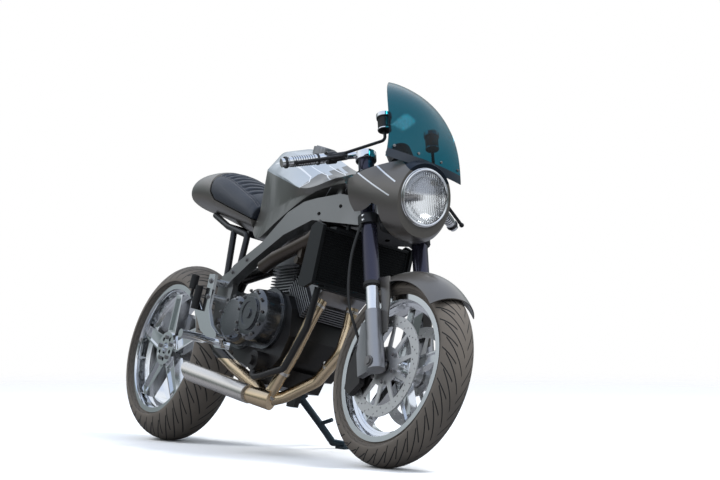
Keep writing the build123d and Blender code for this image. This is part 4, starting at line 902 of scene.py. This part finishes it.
class BIKE_OT_bolts(bpy.types.Operator):
    """Bolts and nuts on the frame, the fork and the wheels"""
    bl_idname = "bike.bolts"
    bl_label = "Bolts"

    def execute(self, context):
        for body in ("frame", "steering", "front_wheel", "rear_wheel"):
            bm = bmesh.new()
            for on, foot, way, radius, height in BOLTS:
                if on == body:
                    bolt(bm, foot, way, radius, height)
            for on, centre, way, reach, count, turn, radius, height in BOLT_RINGS:
                if on == body:
                    bolt_ring(bm, centre, way, reach, count, turn, radius, height)
            make_piece(body + "_bolts", bm, "steel", body, bevel=0.4)
        bm = bmesh.new()
        for at in CLAMP_BOLTS_AT:
            for side in (-1, 1):
                bolt(bm, along_fork(at, side * CLAMP_SIDE, CLAMP_AHEAD), (0.3, side, 0), 3.6, 5)
        make_piece("clamp_bolts", bm, "polished", "steering", bevel=0.4)
        return {"FINISHED"}


class BIKE_OT_trim(bpy.types.Operator):
    """Grip rings, reservoir caps, dial face, pipe bands and fork collars"""
    bl_idname = "bike.trim"
    bl_label = "Trim"

    def execute(self, context):
        build_grip_rings()
        build_reservoir_caps()
        build_dial_face()
        build_pipe_bands()
        build_fork_collars()
        return {"FINISHED"}


BAR_ROOT, BAR_END = (HEAD_X, 128, 958), (HEAD_X - 52, 346, 866)
GRIP_RADIUS = 16.5
# Collars and ribs of a grip: how far back from its end, width, how far they stand out
GRIP_RINGS = [(4, 7, 2.5), (112, 7, 2.5)] + [(back, 2, 0.9) for back in range(24, 104, 8)]


def build_grip_rings():
    """Dark collars at both ends of each bright grip, and its ribs."""
    bm = bmesh.new()
    for side in (-1, 1):
        root, end = (Vector((x, side * y, z)) for x, y, z in (BAR_ROOT, BAR_END))
        way = (end - root).normalized()
        for back, width, out in GRIP_RINGS:
            at = end - way * back
            rod(bm, at, at + way * width, GRIP_RADIUS + out, 40)
    make_piece("grip_rings", bm, "black_plastic", "steering", bevel=0.6)


# A fluid cup's foot, and its cap's rings: from and to up the cup, radius
CUP_X, CUP_SIDE, CUP_Z, CUP_TOP = HEAD_X + 80, 99, 1046, 60
CAP_RINGS = ((47, 60.5, 24.6), (CUP_TOP, 61.5, 19), (1, 5, 22.2))


def build_reservoir_caps():
    """A bright cap and a foot ring on each fluid cup, with two screws."""
    caps, screws = bmesh.new(), bmesh.new()
    up = Vector(FORK_UP)
    for side in (-1, 1):
        foot = Vector((CUP_X, side * CUP_SIDE, CUP_Z))
        for low, high, radius in CAP_RINGS:
            rod(caps, foot + up * low, foot + up * high, radius, 36)
        for y in (-11, 11):
            bolt(screws, foot + up * CUP_TOP + Vector((0, y, 0)), up, 2.6, 2.4)
    make_piece("reservoir_caps", caps, "polished", "steering", bevel=0.8)
    make_piece("reservoir_screws", screws, "steel", "steering", bevel=0.3)


DIAL_AT, DIAL_AHEAD = 764, 39.8
# Its marks: number, first one and sweep in degrees, inner radius of long and short ones, outer radius
DIAL_MARKS, DIAL_START, DIAL_SWEEP, MARK_LONG, MARK_SHORT, MARK_OUT = 25, 225, 270, 27, 30, 34
# Profile of its rim: height, radius
DIAL_RIM = ((-6, 40.6), (1, 40.6), (2.4, 39.4), (2.4, 37.4), (0.2, 36.8), (-6, 40.1))


def build_dial_face():
    """A plain white ring of marks and a needle under a bright rim."""
    centre, up = along_fork(DIAL_AT, 0, DIAL_AHEAD), Vector(FORK_UP)
    rim, marks = bmesh.new(), bmesh.new()
    lathe(rim, DIAL_RIM, centre, up)
    for step in range(DIAL_MARKS):
        turn = radians(DIAL_START - step * DIAL_SWEEP / (DIAL_MARKS - 1))
        out = Matrix.Rotation(turn, 3, up) @ Vector((0, 1, 0))
        near = MARK_SHORT if step % 4 else MARK_LONG
        rod(marks, centre + out * near + up * 0.6, centre + out * MARK_OUT + up * 0.6, 0.55, 6)
    rod(marks, centre + up * 0.9, centre + up * 0.9 + Vector((-14, 18, 0)), 0.8, 6, 0.3)
    rod(marks, centre, centre + up * 1.8, 4, 20)
    make_piece("dial_rim", rim, "polished", "steering")
    make_piece("dial_marks", marks, "thread", "steering")


# Bands on the exhaust: middle, way the pipe runs, radius, half length
PIPE_BANDS = (((1021, -84, 481), (6, 12, 38), 22.5, 5), ((912, -98, 256), (66, 12, 126), 23, 6),
              ((870, -107, 178), (22, 8, 34), 24, 6), ((1024, 40, 486), (0, 0, 1), 22.5, 5),
              ((986, 18, 300), (84, 16, 98), 22.5, 5))


def build_pipe_bands():
    """Clamp bands round the exhaust's pipes."""
    bm = bmesh.new()
    for middle, way, radius, half in PIPE_BANDS:
        way = Vector(way).normalized()
        rod(bm, Vector(middle) - way * half, Vector(middle) + way * half, radius, 40)
    make_piece("pipe_bands", bm, "silencer_steel", "frame", bevel=1.2)


FORK_SIDE = 103
# Piece, finish, softened edge, and its rings: from and to up the fork, radius, sides
FORK_COLLARS = (("fork_seals", "rubber", 0.8, ((262, 274, 27.2, 40), (258, 263, 24.0, 40))),
                ("fork_caps", "polished", 0.6, ((743, 749, 18, 6), (743, 751, 8, 24))))


def build_fork_collars():
    """Dust seals where the slim lower legs leave the tubes, and caps on top."""
    for name, finish, bevel, rings in FORK_COLLARS:
        bm = bmesh.new()
        for side in (-FORK_SIDE, FORK_SIDE):
            for low, high, radius, steps in rings:
                rod(bm, along_fork(low, side), along_fork(high, side), radius, steps)
        make_piece(name, bm, finish, "steering", bevel=bevel)


class BIKE_OT_seat(bpy.types.Operator):
    """The padded seat with its cross channels, its seam and stitches"""
    bl_idname = "bike.seat"
    bl_label = "Seat"

    def execute(self, context):
        build_seat()
        return {"FINISHED"}


# Cross channels of the seat: where along it, half width, depth, how far in from the seam they fade
CHANNELS, CHANNEL_HALF, CHANNEL_DEPTH, CHANNEL_FADE = range(172, 420, 33), 8.0, 11.0, 14
# Seams: how far out, from and to along the seat, half width and depth of their groove
SEAM_AT, SEAM_BACK, SEAM_FRONT, SEAM_HALF, SEAM_DEPTH = 88, 150, 490, 5.0, 4.0
# Stitches: from and to along the seam, pitch, length, how far to each side of the seam
STITCH_BACK, STITCH_FRONT, STITCH_PITCH, STITCH_LENGTH, STITCH_OUT = 160, 486, 6, 3.4, 4.5
# The cover lies this far, in millimetres, inside the plain pad before it is swelled
COVER_INSET = 1.6


def build_seat():
    """The padded cover: an even skin from the plain pad, swelled, then pressed in at channels and seams."""
    bm, body = node_mesh("seat_pad")
    bmesh.ops.triangulate(bm, faces=bm.faces)
    for vert in bm.verts:
        vert.co -= vert.normal * COVER_INSET
    piece = make_piece("seat_cover", bm, "leather", body, ["seat_pad"], sharp=180)
    remesh = piece.modifiers.new("even", "REMESH")
    remesh.mode = "VOXEL"
    remesh.voxel_size = 0.005
    keep_shape(piece)
    swell(piece)
    mesh = piece.data
    back = PLACE[body].inverted()
    bm = bmesh.new()
    bm.from_mesh(mesh)
    bm.transform(back)
    bmesh.ops.smooth_vert(bm, verts=bm.verts, factor=0.5, use_axis_x=True, use_axis_y=True, use_axis_z=True)
    bm.normal_update()
    moves = {vert: vert.normal * seat_dent(vert) for vert in bm.verts if vert.normal.z >= 0.1}
    for vert, move in moves.items():
        vert.co -= move
    bm.transform(PLACE[body])
    bm.to_mesh(mesh)
    bm.free()
    mesh.shade_smooth()
    soft = piece.modifiers.new("round", "SUBSURF")
    soft.levels = soft.render_levels = 1
    keep_shape(piece)
    build_stitches(piece, back)


def seat_dent(vert):
    """How deep a point of the seat's top is pressed in, by the channels and the seams."""
    x, y = vert.co.xy
    near = min(abs(x - at) for at in CHANNELS)
    inner = max(0.0, min(1.0, (SEAM_AT - abs(y)) / CHANNEL_FADE))
    dent = CHANNEL_DEPTH * inner * max(0.0, 1 - (near / CHANNEL_HALF) ** 2)
    if SEAM_BACK < x < SEAM_FRONT:
        seam = abs(abs(y) - SEAM_AT)
        dent = max(dent, SEAM_DEPTH * max(0.0, 1 - (seam / SEAM_HALF) ** 2))
    return dent


def keep_shape(piece):
    """Applies the piece's modifiers to its mesh."""
    shown = piece.evaluated_get(bpy.context.evaluated_depsgraph_get())
    mesh = bpy.data.meshes.new_from_object(shown)
    old = piece.data
    for material in old.materials:
        if material.name not in mesh.materials:
            mesh.materials.append(material)
    piece.modifiers.clear()
    piece.data = mesh
    mesh.shade_smooth()


SWELL_FRAMES = 20


def swell(piece, most=0.006):
    """Blows the pad up a little with cloth, held at its edges, and caps how far a point moves."""
    scene = bpy.context.scene
    start = [vert.co.copy() for vert in piece.data.vertices]
    up = PLACE["frame"].to_3x3().normalized() @ Vector((0, 0, 1))
    held = piece.vertex_groups.new(name="held")
    held.add([vert.index for vert in piece.data.vertices if vert.normal.dot(up) < 0.05], 1.0, "REPLACE")
    cloth = piece.modifiers.new("swell", "CLOTH")
    cloth.settings.quality = 4
    cloth.settings.use_pressure = True
    cloth.settings.uniform_pressure_force = 4
    cloth.settings.effector_weights.gravity = 0
    cloth.settings.vertex_group_mass = "held"
    cloth.collision_settings.use_collision = False
    for step in range(1, SWELL_FRAMES + 1):
        scene.frame_set(step)
    keep_shape(piece)
    for vert, place in zip(piece.data.vertices, start):
        move = vert.co - place
        if move.length > most:
            vert.co = place + move.normalized() * most
    scene.frame_set(1)


def build_stitches(cover, back):
    """Stitches along both seams, laid on the cover."""
    bm = bmesh.new()
    bm.from_mesh(cover.data)
    bm.transform(back)
    tree = BVHTree.FromBMesh(bm)
    bm.free()
    made = bmesh.new()
    for side in (-1, 1):
        for row in (-STITCH_OUT, STITCH_OUT):
            for x in range(STITCH_BACK, STITCH_FRONT, STITCH_PITCH):
                hits = []
                for at in (x, x + STITCH_LENGTH):
                    above = Vector((at, side * (SEAM_AT + row), 1200))
                    spot, normal = tree.ray_cast(above, Vector((0, 0, -1)))[:2]
                    if spot is not None:
                        hits.append(spot + normal * 0.35)
                if len(hits) == 2:
                    rod(made, hits[0], hits[1], 0.75, 6)
    make_piece("seat_stitches", made, "thread", "frame")


class BIKE_OT_hoses(bpy.types.Operator):
    """The brake hoses on the fork"""
    bl_idname = "bike.hoses"
    bl_label = "Brake hoses"

    def execute(self, context):
        for side, name in ((-1, "right_brake_hose"), (1, "left_brake_hose")):
            build_hose(name, side)
        return {"FINISHED"}


HOSE_RADIUS, HOSE_START = 4.5, (133, 474.7)
# Hose: how far behind the axle, how far to the side, how far above the axle
HOSE_RUN = [(212, 136, 390), (200, 146, 300), (166, 140, 170), (134, 104, 92), (128, 82, 52.3)]


def build_hose(name, side):
    """A stiff hose from the lower fork clamp into the caliper."""
    away_at_top, up_fork = HOSE_START
    points = [along_fork(up_fork, side * away_at_top)]
    points += [Vector((WHEELBASE - behind, side * away, FRONT_RADIUS + up)) for behind, away, up in HOSE_RUN]
    points = [PLACE["steering"] @ point for point in points]
    curve = bpy.data.curves.new(name, "CURVE")
    curve.dimensions = "3D"
    spline = curve.splines.new("NURBS")
    spline.points.add(len(points) - 1)
    for spot, point in zip(spline.points, points):
        spot.co = (*point, 1)
    spline.order_u = 3
    spline.use_endpoint_u = True
    curve.resolution_u = 12
    curve.bevel_depth = HOSE_RADIUS * 0.001
    curve.bevel_resolution = 4
    hose = bpy.data.objects.new(name, curve)
    bpy.context.scene.collection.objects.link(hose)
    finish_piece(hose, "rubber", "steering", ["front_brake_hoses"])
    plain = curve.copy()
    plain.bevel_depth = 0
    holder = bpy.data.objects.new("line", plain)
    line = bpy.data.meshes.new_from_object(holder)
    bpy.data.objects.remove(holder)


class BIKE_OT_plain_nodes(bpy.types.Operator):
    """CAD nodes that only need softer edges and their finish"""
    bl_idname = "bike.plain_nodes"
    bl_label = "Dressed CAD nodes"

    def execute(self, context):
        for row in frame["record"]["subparts"]:
            node = row["node"]
            if frame["nodes"][node].hide_render:
                continue
            dress(node, FINISH_OF.get(node, row["material_slot"]), bevel=EDGES.get(node, EDGE))
        return {"FINISHED"}


# Softened edges in millimetres, and where they differ
EDGE = 0.8
EDGES = {"main_frame": 2.0, "swingarm": 3.0, "crankcase": 3.0, "engine_covers": 3.0, "tail_cowl": 2.0,
         "fuel_tank": 2.0, "front_rim": 1.0, "rear_rim": 1.0, "triple_clamps": 2.0, "drive_chain": 0.0,
         "front_discs": 0.3, "rear_disc": 0.3}
# Finishes that differ from the record's slot
FINISH_OF = {"fairing": "fairing_paint", "bar_grips": "bright_grip", "engine_hangers": "bronze_paint",
             "radiator_shrouds": "radiator_black"}


class BIKE_PT_panel(bpy.types.Panel):
    """Lists the operators and sizes"""
    bl_label = "Cafe Racer"
    bl_idname = "BIKE_PT_panel"
    bl_space_type = "VIEW_3D"
    bl_region_type = "UI"
    bl_category = "Cafe Racer"

    def draw(self, context):
        layout = self.layout
        layout.prop(context.scene.bike_colours, "backdrop")
        layout.prop(context.scene.bike_sizes, "tread_pitch")
        for operator in OPERATORS:
            layout.operator(operator.bl_idname)


OPERATORS = (BIKE_OT_finishes, BIKE_OT_stage, BIKE_OT_hoses, BIKE_OT_tyres, BIKE_OT_seat, BIKE_OT_screen,
             BIKE_OT_lamp, BIKE_OT_radiator, BIKE_OT_bolts, BIKE_OT_trim, BIKE_OT_plain_nodes)
CLASSES = (BikeColours, BikeSizes, *OPERATORS, BIKE_PT_panel)


def register():
    for one in CLASSES:
        bpy.utils.register_class(one)
    bpy.types.Scene.bike_colours = bpy.props.PointerProperty(type=BikeColours)
    bpy.types.Scene.bike_sizes = bpy.props.PointerProperty(type=BikeSizes)


def unregister():
    del bpy.types.Scene.bike_sizes
    del bpy.types.Scene.bike_colours
    for one in reversed(CLASSES):
        bpy.utils.unregister_class(one)


def main():
    register()
    for operator in OPERATORS:
        group, name = operator.bl_idname.split(".")
        getattr(getattr(bpy.ops, group), name)()
    bpy.context.view_layer.update()


if __name__ == "__main__":
    main()
